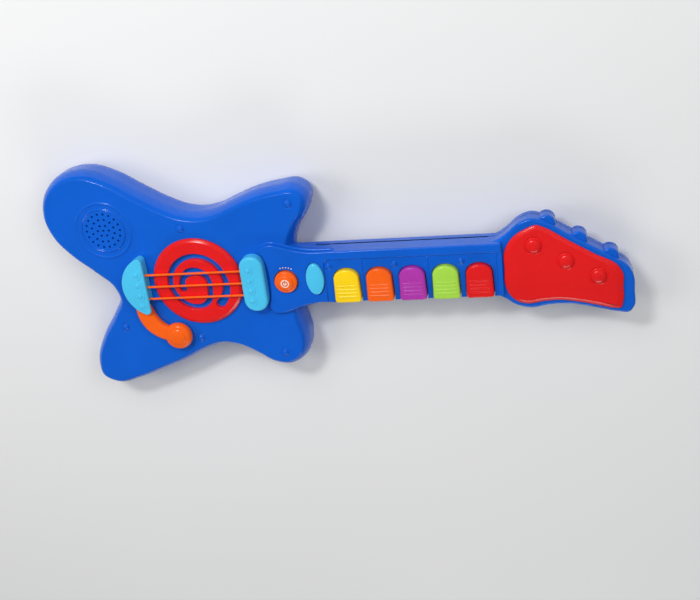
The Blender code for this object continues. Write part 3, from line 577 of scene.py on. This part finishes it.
def printed(name, colour):
    """Paint or ink on a moulding."""
    made, tree, shader, place = blank(name)
    connect(tree, shader, {
        "Base Color": mottled(tree, colour, place, 500, 0.93, 1.03),
        "Roughness": noise(tree, place, 700, 3, 0.35, 0.47),
        "Normal": bump(tree, noise(tree, place, 2500, 2), 0.000008)})
    return made


MATERIALS = {
    "shell_blue": moulded_plastic("shell_blue", (0.003, 0.112, 0.62), 0.2),
    "red": moulded_plastic("red", (0.78, 0.012, 0.013), 0.22),
    "cyan": moulded_plastic("cyan", (0.075, 0.56, 0.86), 0.24),
    "orange": moulded_plastic("orange", (0.98, 0.13, 0.008), 0.22),
    "yellow": moulded_plastic("yellow", (1.0, 0.67, 0.01), 0.24),
    "purple": moulded_plastic("purple", (0.45, 0.04, 0.41), 0.24),
    "green": moulded_plastic("green", (0.4, 0.72, 0.075), 0.24),
    "grey_rubber": rubber("grey_rubber", (0.5, 0.5, 0.48)),
    "circuit_board": circuit_board("circuit_board", (0.015, 0.18, 0.06)),
    "black_plastic": moulded_plastic("black_plastic", (0.018, 0.018, 0.02), 0.45, 0.0, 0.0),
    "steel": zinc_steel("steel", (0.62, 0.62, 0.6)),
    "battery_wrap": battery_wrap("battery_wrap", (0.05, 0.24, 0.12)),
    "clear_lens": clear_lens("clear_lens", (0.85, 0.88, 0.92)),
    "lead_red": rubber("lead_red", (0.6, 0.03, 0.03)),
}


# ---- front shell

def neck_outline(growth):
    """The neck from above, with small corners."""
    start, end = NECK_START - growth, NECK_END + growth
    centre = ((start + end) / 2, 0)
    return rounded_rectangle(centre, (end - start, 2 * (NECK_HALF + growth)), 0.8 + max(growth, 0), 6)


def tuner_centres():
    slant = (Vector((326, 0.9)) - Vector((266, 38.3))).normalized()
    return [Vector((272.2, 32.6)) + slant * TUNER_PITCH * i for i in range(3)]


def dome_centres():
    return [Vector((262.2, 17.7)) + Vector((23.2, -13.1)) * i for i in range(3)]


def wall(low, high, edge_radius):
    """An upright wall from the parting line, with a rounded top edge."""
    return [(-EDGE, low), (0, low + EDGE)] + top_edge(edge_radius, high)


def body_front(inset):
    """The body's side above the parting line, or its hollow's for an inset."""
    shoulder = PARTING + 0.3
    reach, depth = 9.8, 14.2
    profile = []
    for i in range(13):
        a = math.radians(60 * i / 12)
        growth = SIDE - reach + (reach - inset) * math.cos(a)
        profile.append((growth, shoulder + (depth - inset) * math.sin(a)))
    return profile


def body_back(inset):
    """The body's side below the parting line, from its flat back outwards."""
    depth = 12.3
    return [((SIDE - inset) * math.sin(a), inset + (depth - inset) * (1 - math.cos(a)))
            for a in quarter(12)]


def key_outline(node, growth):
    """A key from above: sides that narrow a little, rounded low corners and a rounded far end."""
    low, high = local_box(node)
    centre = (low.x + high.x) / 2
    half = (high.x - low.x) / 2 - KEY_LIP + growth
    shoulder = half - 0.5
    shoulder_y = -1.0
    low_end = low.y - growth
    far = high.y - KEY_LIP - shoulder_y + growth
    corner = 2.5 + max(growth, -1.9)
    left = arc((centre - half + corner, low_end + corner), (corner, corner), 180, 270, 7)
    right = arc((centre + half - corner, low_end + corner), (corner, corner), 270, 360, 7)
    return left + right + arc((centre, shoulder_y), (shoulder, far), 0, 180, 33)


def key_slot(node):
    """A key's slot, which runs out through the neck's lower side."""
    loop = key_outline(node, 0.55)
    bottom = min(p.y for p in loop)
    for p in loop:
        if p.y < bottom + 2:
            p.y -= 4
    return loop


def build_front_shell():
    body = smooth_loop(BODY_POINTS)
    side = [(SIDE - EDGE, PARTING), (SIDE, PARTING + EDGE)] + body_front(0)[1:]
    shell = stacked("front_shell_surface", body, side + [(-0.3, FACE - 0.12), (-1.0, FACE)])
    neck = stacked("neck", neck_outline, wall(PARTING + 0.01, HEEL, 1.3))
    heel = stacked("heel", smooth_loop(HEEL_POINTS), mound(FACE, HEEL + 0.01, 1.4, 1.6))
    heel_block = stacked("heel_block", smooth_loop(HEEL_POINTS), wall(PARTING + 0.015, HEEL - 2, 0.3))
    head = stacked("head", smooth_loop(HEAD_POINTS), wall(PARTING + 0.02, FACE, 2.2))
    lumps = [stacked("tuner_lump", circle(spot, TUNER_RADIUS), wall(PARTING + 0.03, FACE - 2, 1.8))
             for spot in tuner_centres()]
    join(shell, neck, heel_block, heel, head, *lumps)
    recess_centre = ((RECESS_START + RECESS_END) / 2, (RECESS_TOP + RECESS_BOTTOM) / 2)
    recess_size = (RECESS_END - RECESS_START, RECESS_TOP - RECESS_BOTTOM)
    recess = rounded_rectangle(recess_centre, recess_size, 4)
    cut(shell,
        stacked("recess", recess, sink(PANEL, HEEL, 0.5, 0.5)),
        stacked("body_hollow", body, [(SIDE - WALL, PARTING - 5)] + body_front(WALL) + [(-1.5, FACE - WALL)]),
        stacked("neck_hollow", neck_outline, [(-WALL, PARTING - 6), (-WALL, PANEL - WALL)]),
        stacked("head_hollow", smooth_loop(HEAD_POINTS),
                [(-WALL, PARTING - 7), (-WALL, FACE - WALL - 0.1)]))
    raised = [dome("stud", spot, 2.7, 1.7, FACE) for spot in BODY_STUDS]
    raised += [dome("stud", spot, 2.2, 1.5, PANEL) for spot in NECK_STUDS]
    raised += fret_ridges()
    raised.append(ridge("inner_speaker_ring", SPEAKER, 17.6, 0.9, 0.7, FACE))
    raised.append(ridge("outer_speaker_ring", SPEAKER, 22.6, 1.6, 0.6, FACE))
    join(shell, *raised)
    grooves = [groove("stud_groove", spot, 3.5, 0.5, 0.35, FACE) for spot in BODY_STUDS]
    grooves += [groove("stud_groove", spot, 3.0, 0.45, 0.35, PANEL) for spot in NECK_STUDS]
    power = middle("power_button")
    mode_low, mode_high = local_box("mode_button")
    mode_radii = [size / 2 - 0.8 for size in (mode_high - mode_low).xy]
    under = PANEL - 8
    slots = [stacked("slot", key_slot(f"key_{colour}"), sink(under, PANEL, 0.1, 0.25))
             for colour in KEY_COLOURS]
    button_hole = sink(under, HEEL + 0.01, 0.1, 0.3)
    grille_hole = [(0, FACE - 6), (GRILLE_HOLE, FACE - 6), (GRILLE_HOLE, FACE + 3), (0, FACE + 3)]
    cut(shell, *grooves, *slots,
        stacked("power_hole", circle(power, 9.6), button_hole),
        stacked("mode_hole", ellipse(middle("mode_button"), mode_radii), button_hole),
        merged("grille", [turned("hole", grille_hole, spot, 12) for spot in grille_centres()]))
    finished(shell, "front_shell")


def fret_ridges():
    """The fret lines between the keys, each with a small dot at its top."""
    keys = [middle(f"key_{colour}").x for colour in KEY_COLOURS]
    made = []
    for x in (keys[0] + KEY_PITCH / 2 - 0.3, keys[2] + KEY_PITCH / 2 - 0.3, keys[4] + KEY_PITCH / 2):
        line = stroke([(x, 11.5), (x, 0), (x, -18.5)], [0.7] * 3, 9)
        made.append(stacked("fret", line, mound(PANEL, PANEL + 0.6, 0.2, 0.3)))
        made.append(dome("fret_dot", (x, 12.2), 1.0, 0.9, PANEL, 0.2))
    return made


def grille_centres():
    """Rings of small holes around the middle one."""
    centres = [SPEAKER.xy]
    for ring in GRILLE_RINGS:
        for i in range(6 * ring):
            angle = 2 * math.pi * (i + 0.5 * (ring == 2)) / (6 * ring)
            centres.append(SPEAKER.xy + Vector((math.cos(angle), math.sin(angle))) * GRILLE_PITCH * ring)
    return centres


# ---- rear shell and door

def back_wall(low, high, edge_radius):
    """An upright wall with a rounded bottom edge, up to the parting line."""
    return bottom_edge(edge_radius, low) + [(0, high - EDGE), (-EDGE, high)]


def build_rear_shell():
    body = smooth_loop(BODY_POINTS)
    rim = [(SIDE, REAR_RIM - EDGE), (SIDE - EDGE, REAR_RIM)]
    shell = stacked("rear_shell_surface", body, body_back(0) + rim)
    neck = stacked("rear_neck", neck_outline, back_wall(NECK_BACK, REAR_RIM - 0.01, 5.5))
    head = stacked("rear_head", smooth_loop(HEAD_POINTS), back_wall(HEAD_BACK, REAR_RIM - 0.02, 3.0))
    lump_side = back_wall(HEAD_BACK + 3.5, REAR_RIM - 0.03, 1.5)
    lumps = [stacked("tuner_lump", circle(spot, TUNER_RADIUS), lump_side) for spot in tuner_centres()]
    join(shell, neck, head, *lumps)
    cut(shell,
        stacked("body_hollow", body, body_back(WALL) + [(SIDE - WALL, 40)]),
        stacked("neck_hollow", neck_outline,
                [(-WALL - 3, NECK_BACK + WALL), (-WALL, NECK_BACK + 5), (-WALL, 41)]),
        stacked("head_hollow", smooth_loop(HEAD_POINTS),
                [(-WALL - 1, HEAD_BACK + WALL), (-WALL, HEAD_BACK + 4), (-WALL, 42)]))
    posts = []
    post_top = REAR_RIM - 0.05
    for screws, low in ((BODY_SCREWS, 1), (THIN_SCREWS, HEAD_BACK + 1)):
        posts += [turned("post", [(0, low), (4.5, low), (4.5, post_top), (0, post_top)], spot, 32)
                  for spot in screws]
    join(shell, *posts)
    bores = []
    backs = [0] * len(BODY_SCREWS) + [NECK_BACK, HEAD_BACK]
    for i, (screw, rim_z) in enumerate(zip(SCREWS, backs)):
        head_top = local_box(f"case_screw_{i + 1}")[0].z + 2.3
        low = 5 if rim_z else -2
        profile = [(0, low), (4.0, low), (3.9, rim_z), (3.45, rim_z + 0.2), (3.3, rim_z + 0.55),
                   (3.3, head_top), (1.5, head_top), (1.5, 30), (0, 30)]
        bores.append(turned("bore", profile, screw, 40))
    low, high = local_box("battery_door")
    centre = ((low.x + high.x) / 2 - 0.3, 0)
    size = (high.x - low.x + 1.4, high.y - low.y + 0.8)
    opening = rounded_rectangle(centre, size, 2.2)
    cut(shell, *bores, stacked("door_opening", opening, [(0.5, -1), (0.5, 0.0), (0, 0.45), (0, WALL + 1)]))
    finished(shell, "rear_shell")


def build_door():
    low, high = local_box("battery_door")
    centre = ((low.x + high.x) / 2, 0)
    size = (high.x - low.x, high.y - low.y)
    outline = rounded_rectangle(centre, size, 1.8)
    side = bottom_edge(0.5, low.z) + [(0, high.z - 0.2), (-0.2, high.z)]
    door = stacked("battery_door_surface", outline, side)
    screw = middle("door_screw")
    grips = []
    for i in range(5):
        x = high.x - 17 + 2.2 * i
        grips.append(rod("grip", (x, -7 + 1.2 * i, low.z - 0.5), (x, 7 - 1.2 * i, low.z - 0.5), 1.0))
    recess = [(0, -1), (4.2, -1), (4.0, low.z), (3.3, low.z + 0.35), (3.1, low.z + 1.2),
              (1.5, low.z + 1.2), (1.5, 5), (0, 5)]
    cut(door, *grips, turned("recess", recess, screw, 40))
    finished(door, "battery_door")


def cross_recess(centre, level, reach, depth):
    """The cutters of a screw's cross."""
    blades = []
    for turn in (math.radians(20), math.radians(110)):
        way = Vector((math.cos(turn), math.sin(turn))) * reach
        line = stroke([centre.xy - way, centre.xy, centre.xy + way], [0.36] * 3, 3)
        blades.append(stacked("cross", line, [(0.15, level - 0.5), (0.1, level), (-0.2, level + depth)]))
    return blades


def build_screws():
    for i in range(len(SCREWS) + 1):
        node = f"case_screw_{i + 1}" if i < len(SCREWS) else "door_screw"
        low, high = local_box(node)
        radius = (high.x - low.x) / 2
        centre = (low + high) / 2
        head = 0.85 if node == "door_screw" else 2.0
        shank = 1.1
        profile = [(0, low.z), (radius - 0.9, low.z), (radius - 0.35, low.z + 0.12),
                   (radius - 0.08, low.z + 0.35), (radius, low.z + 0.6), (radius, low.z + head),
                   (shank, low.z + head), (shank, high.z - 1), (0.3, high.z), (0, high.z)]
        screw = turned(f"{node}_surface", profile, centre, 32)
        cut(screw, *cross_recess(centre, low.z, radius * 0.5, 0.6))
        finished(screw, node)


# ---- covers on the face

def panel_outline(growth):
    """The panel from above. Its edge slopes further in at the head's end."""
    loop = grown(smooth_loop(PANEL_POINTS), growth)
    for p in loop:
        p.x += 0.6 * growth * min(max((p.x - 312) / 12, 0), 1)
    return loop


def build_headstock_panel():
    low = local_box("headstock_panel")[0].z
    profile = [(-0.3, low), (0, low + 0.3), (0, low + 0.9), (-0.12, low + 1.25), (-0.5, low + 1.6),
               (-1.2, low + 2.0), (-2.2, low + 2.45), (-2.9, PANEL + 0.05), (-3.3, PANEL + 0.17)]
    panel = stacked("headstock_panel_surface", panel_outline, profile)
    level = PANEL + 0.17
    cut(panel, *[groove("moat", spot, 6.5, 0.8, 0.55, level) for spot in dome_centres()])
    join(panel, *[dome("dome", spot, 5.7, 2.6, level, 0.1) for spot in dome_centres()])
    finished(panel, "headstock_panel")


def swirl_path():
    path = []
    for centre, radius, first, last in SWIRL_ARCS:
        path += arc(centre, (radius,) * 2, first, last, round(abs(last - first) / 5))
    return path


def between(pairs, at):
    """The value at a fraction, on straight lines through (fraction, value) pairs."""
    for (start, first), (end, last) in zip(pairs, pairs[1:]):
        if at <= end:
            return first + (last - first) * (at - start) / (end - start)
    return pairs[-1][1]


def swirl_outline(growth):
    path = swirl_path()
    widths = [between(SWIRL_HALF_WIDTHS, i / (len(path) - 1)) + growth for i in range(len(path))]
    return stroke(path, widths, 15)


def build_disc():
    profile = [(0, FACE + GAP), (DISC_RADIUS - 0.2, FACE + GAP), (DISC_RADIUS, FACE + GAP + 0.2),
               (DISC_RADIUS, DISC_TOP - 2.3), (DISC_RADIUS - 0.12, DISC_TOP - 1.9),
               (DISC_RADIUS - 0.5, DISC_TOP - 1.4), (DISC_RADIUS - 2.4, DISC_TOP - 0.2),
               (DISC_RADIUS - 2.9, DISC_TOP - 0.03), (DISC_RADIUS - 3.5, DISC_TOP), (0, DISC_TOP)]
    disc = turned("spiral_disc_surface", profile, (0, 0), 128)
    side = [(0, FACE - 2), (0, DISC_TOP - 0.7), (0.08, DISC_TOP - 0.4), (0.3, DISC_TOP - 0.12),
            (0.55, DISC_TOP), (1.0, DISC_TOP + 0.8)]
    cut(disc, stacked("swirl", swirl_outline, side))
    finished(disc, "spiral_disc")


def half_moon(growth):
    """The bridge from above: a straight edge, the arc left of it, and round corners between."""
    low, high = local_box("bridge_cover")
    corner = 3.6
    bulge = high.x - low.x
    half_length = (high.y - low.y) / 2
    radius = (half_length**2 + bulge**2) / (2 * bulge)
    centre = low.x + radius
    edge = high.x - corner
    reach = math.degrees(math.acos((edge - centre) / (radius - corner)))
    tips = [Vector((edge, (radius - corner) * math.sin(math.radians(turn)))) for turn in (reach, -reach)]
    loop = arc((centre, 0), (radius + growth,) * 2, reach, 360 - reach, 60)
    loop += arc(tips[1], (corner + growth,) * 2, 360 - reach, 360, 10)[1:]
    loop += arc(tips[0], (corner + growth,) * 2, 0, reach, 10)[:-1]
    return loop


def string_holes(start, end, half_width, half_height):
    """The cutters of the slots or windows that the strings pass through."""
    holes = []
    for y in STRING_LEVELS:
        outline = rounded_rectangle(((start + end) / 2, y), (end - start, 2 * half_width), 0.4, 4)
        holes.append(stacked("hole", outline, [(0, STRING_Z - half_height), (0, STRING_Z + half_height)]))
    return holes


def bead_row(x, levels, level, radius, height):
    return [dome("bead", (x, y), radius, height, level, 0.25) for y in levels]


def scallops(x, levels, radius, level, far):
    """A thin raised field whose right edge bulges around each bead."""
    loop = [Vector((far, levels[0] - radius * 0.4)), Vector((x, levels[0] - radius))]
    for y in levels:
        loop += arc((x - 0.2, y), (radius, (levels[1] - levels[0]) / 2), -80, 80, 15)
    loop += [Vector((x, levels[-1] + radius)), Vector((far, levels[-1] + radius * 0.4))]
    edge = [(0.05, level - 0.5), (0.05, level + 0.02), (0, level + 0.2), (-0.15, level + 0.33)]
    return stacked("scallops", loop, edge)


def build_bridge():
    low, high = local_box("bridge_cover")
    top = BRIDGE_TOP - 1.2
    profile = [(-0.2, low.z), (0, low.z + 0.2)] + top_edge(1.3, top)
    bridge = stacked("bridge_cover_surface", half_moon, profile)
    levels = [-16.0 + 9.0 * i for i in range(4)]
    join(bridge, scallops(high.x - 6.0, levels, 4.0, top, high.x - 11))
    join(bridge, *bead_row(high.x - 6.3, levels, top + 0.3, 2.2, 0.8))
    cut(bridge,
        stacked("bridge_hollow", half_moon, [(-2, low.z - 3), (-2, top - 2)]),
        *string_holes(high.x - 4, high.x + 4, 2.7, 1.5),
        prism("whammy_opening", (-75, -40, FACE - 2), (-35, -12.5, 41.3)))
    finished(bridge, "bridge_cover")


def build_pickup():
    low, high = local_box("pickup_cover")
    centre = (low + high) / 2
    size = high - low

    def outline(growth):
        return rounded_rectangle(centre, (size.x + 2 * growth, size.y + 2 * growth), 9.2 + growth, 16)

    profile = [(-0.2, low.z), (0, low.z + 0.2)] + top_edge(2.2, PICKUP_TOP)
    pickup = stacked("pickup_cover_surface", outline, profile)
    levels = [-15.5 + 8.5 * i for i in range(4)]
    join(pickup, scallops(low.x + 7.2, levels, 3.7, PICKUP_TOP, low.x + 4.4))
    join(pickup, *bead_row(low.x + 6.9, levels, PICKUP_TOP + 0.3, 2.0, 0.8))
    cut(pickup,
        stacked("pickup_hollow", outline, [(-1.8, low.z - 2), (-1.8, PICKUP_TOP - 1.8)]),
        *string_holes(low.x - 3, low.x + 3, 1.4, 1.3))
    finished(pickup, "pickup_cover")


def build_strings():
    for node, y in zip(STRINGS, STRING_LEVELS):
        low, high = local_box(node)
        start = (low.x + STRING_RADIUS, y, STRING_Z)
        end = (STRING_PIVOT - 1.2, y, STRING_Z)
        string = rod(f"{node}_surface", start, end, STRING_RADIUS, 20)
        eye = [(1.15, low.z), (2.2, low.z), (2.2, high.z), (1.15, high.z)]
        join(string, turned("eye", eye, (STRING_PIVOT, y), 32, closed=True))
        finished(string, node)


def build_whammy():
    low, high = local_box("whammy_bar")
    arm_top = high.z - 3.0
    path, widths = smooth_line(WHAMMY_PATH, WHAMMY_HALF_WIDTHS, 6)

    def outline(growth):
        return stroke(path, [w + growth for w in widths])

    arm = [(-0.8, low.z + 0.2), (-0.25, low.z + 0.45), (0, low.z + 1)] + top_edge(3.0, arm_top, 9)
    bar = stacked("whammy_bar_surface", outline, arm)
    knob = [(0, 0), (9.4, 0), (10.2, 0.35), (10.9, 1.3), (11.3, 2.8), (11.3, 3.6), (11.0, 4.9),
            (10.3, 6.1), (9.3, 6.9), (8.2, 7.3), (7.4, 7.35), (7.0, 7.5), (6.6, 7.95), (6.0, 8.3),
            (4.6, 8.65), (2.4, 8.87), (0, high.z - low.z)]
    join(bar, turned("knob", [(radius, low.z + rise) for radius, rise in knob], WHAMMY_KNOB, 72))
    floor = arm_top - 1.9
    bore = [(0, 20), (2.1, 20), (2.1, floor), (6.4, floor), (6.4, 50), (0, 50)]
    cut(bar, turned("bore", bore, middle("whammy_pin"), 40))
    finished(bar, "whammy_bar")


# ---- buttons and keys

def stem(centre, low, high):
    """What a button or a key presses its switch with."""
    return turned("stem", [(0, low), (STEM_RADIUS, low), (STEM_RADIUS, high), (0, high)], centre, 24)


def build_power_button():
    low, high = local_box("power_button")
    centre = (low + high) / 2
    outer = (high.x - low.x) / 2
    radius = outer - 1.55
    profile = [(0, low.z), (STEM_RADIUS, low.z), (STEM_RADIUS, LIP_LOW), (outer, LIP_LOW),
               (outer, LIP_HIGH), (radius, LIP_HIGH), (radius, high.z - 3.6),
               (radius - 0.15, high.z - 3.0), (radius - 0.55, high.z - 2.45),
               (radius - 1.2, high.z - 2.05), (radius - 2.0, high.z - 1.85), (radius - 2.5, high.z - 1.75),
               (radius - 2.8, high.z - 1.5), (radius - 3.1, high.z - 1.0), (radius - 3.6, high.z - 0.6),
               (radius - 4.4, high.z - 0.3), (3.6, high.z - 0.1), (0, high.z - 0.02)]
    button = turned("power_button_surface", profile, centre, 64)
    finished(button, "power_button")
    disc = dome("power_mark", centre, 3.7, 0.25, high.z - 0.3, 0.0)
    finished(disc, "power_button", PALE_INK, stands_for=False)
    ring = stroke(arc(centre, (1.9, 1.9), 122, 418, 40), [0.42] * 40, 7)
    bar = stroke([centre.xy + Vector((0, rise)) for rise in (0.3, 1.4, 2.5)], [0.4] * 3, 7)
    level = high.z - 0.1
    sign = merged("power_sign", [stacked("ring", ring, [(0, level), (0, level + 0.22)]),
                                 stacked("bar", bar, [(0, level), (0, level + 0.22)])])
    finished(sign, "power_button", ORANGE_INK, stands_for=False)


def build_power_dots():
    """Small printed dots in an arc over the power button."""
    centre = middle("power_button")
    dots = []
    for spot in arc(centre, (11.6, 11.6), 62, 106, 5):
        profile = [(0, HEEL - 0.2), (0.5, HEEL - 0.2), (0.5, HEEL + 0.05), (0, HEEL + 0.07)]
        dots.append(turned("dot", profile, spot, 16))
    finished(merged("power_dots", dots), "front_shell", PALE_INK, stands_for=False)


def build_mode_button():
    low, high = local_box("mode_button")
    centre = (low + high) / 2
    lips = [size / 2 for size in (high - low).xy]
    radii = [r - 1.2 for r in lips]

    def outline(growth):
        return ellipse(centre, [r + growth for r in radii])

    side = [(0, LIP_LOW + 0.4)] + top_edge(1.3, high.z - 0.7)
    button = stacked("mode_button_surface", outline, side, 0.7)
    join(button,
         stacked("lip", ellipse(centre, lips), [(0, LIP_LOW), (0, LIP_HIGH)]),
         stem(centre, low.z, LIP_LOW + 2))
    finished(button, "mode_button")


def build_keys():
    for colour in KEY_COLOURS:
        node = f"key_{colour}"
        low, high = local_box(node)
        centre = (low.x + high.x) / 2

        def outline(growth):
            return key_outline(node, growth)

        side = [(0, LIP_LOW + 0.05)] + top_edge(1.7, high.z - 0.35, 9)
        key = stacked(f"{node}_surface", outline, side, 0.35)
        ribs = []
        for i in range(KEY_RIBS):
            y = low.y + 5.2 + 3.0 * i
            ends = [(centre + reach, y, high.z - 0.85) for reach in (-7.0, 7.0)]
            ribs.append(rod("rib", *ends, 1.05, 20))
        join(key, *ribs)
        join(key, prism("lip", (low.x, -NECK_HALF + WALL + 0.5, LIP_LOW), (high.x, 2, LIP_HIGH)))
        cut(key, stacked("hollow", outline, [(-1.8, LIP_LOW - 3), (-1.8, high.z - 2.4)]))
        join(key, stem((centre, middle("key_membrane").y), low.z, high.z - 1.5))
        finished(key, node)


# ---- room

def build_floor():
    loop = [(-3000, -3000), (3000, -3000), (3000, 3000), (-3000, 3000)]
    floor = skin("floor", [[(x, y, z) for x, y in loop] for z in (-10, -0.05)])
    made, tree, shader, place = blank("floor")
    connect(tree, shader, {
        "Base Color": mottled(tree, (0.82, 0.82, 0.82), place, 3, 0.99, 1.01, 2), "Roughness": 0.6})
    floor.data.materials.append(made)


def area_light(name, place, target, size, power, glossy=True):
    """A rectangular light. A fill is left out of reflections, so that highlights stay crisp."""
    data = bpy.data.lights.new(name, "AREA")
    data.shape = "RECTANGLE"
    data.size, data.size_y = size
    data.energy = power
    light = bpy.data.objects.new(name, data)
    bpy.context.scene.collection.objects.link(light)
    light.visible_glossy = glossy
    light.location = place
    light.rotation_euler = (Vector(target) - Vector(place)).to_track_quat("-Z", "Y").to_euler()


def build_lights():
    middle_of_part = (0, 0, 0.02)
    area_light("key_light", (-0.3, 0.8, 1.0), middle_of_part, (0.3, 0.14), 6)
    area_light("back_fill", (-0.3, 1.0, 0.85), middle_of_part, (0.9, 0.4), 3.2, False)
    area_light("right_fill", (0.8, 0.7, 1.2), middle_of_part, (1.0, 0.8), 8.6, False)
    area_light("left_fill", (-1.0, 0.2, 0.9), middle_of_part, (0.6, 0.6), 4.5, False)
    area_light("front_light", (0.2, -1.3, 0.6), middle_of_part, (0.9, 0.25), 4.5)
    world = bpy.data.worlds.new("studio")
    world.use_nodes = True
    sky = world.node_tree.nodes["Background"]
    sky.inputs[0].default_value = (0.95, 0.97, 1.0, 1)
    sky.inputs[1].default_value = 0.15
    bpy.context.scene.world = world
    bpy.context.scene.view_settings.view_transform = "Standard"


def build_camera():
    """The camera of the main view. Its turn's rows are its right, its up and its back."""
    data = bpy.data.cameras.new("camera")
    data.lens = 54.44
    data.sensor_width = 36
    data.shift_x = -0.0271
    data.shift_y = -0.0041
    camera = bpy.data.objects.new("camera", data)
    right = Vector((0.98225, -0.11133, -0.15097))
    up = Vector((0.03732, 0.90473, -0.42436))
    turn = Matrix((right, up, right.cross(up))).transposed()
    camera.matrix_world = Matrix.Translation(ORIGIN + Vector((285.2, 317.1, 764.5)) * MM) @ turn.to_4x4()
    bpy.context.scene.collection.objects.link(camera)
    bpy.context.scene.camera = camera


PALE_INK = printed("pale_ink", (0.97, 0.72, 0.6))
ORANGE_INK = printed("orange_ink", (0.7, 0.09, 0.015))

build_camera()
for node_name, cad_object in frame["nodes"].items():
    cad_object.data.materials.clear()
    cad_object.data.materials.append(MATERIALS[SLOT_OF[node_name]])
build_front_shell()
build_rear_shell()
build_door()
build_screws()
build_headstock_panel()
build_disc()
build_bridge()
build_pickup()
build_strings()
build_whammy()
build_power_button()
build_power_dots()
build_mode_button()
build_keys()
build_floor()
build_lights()
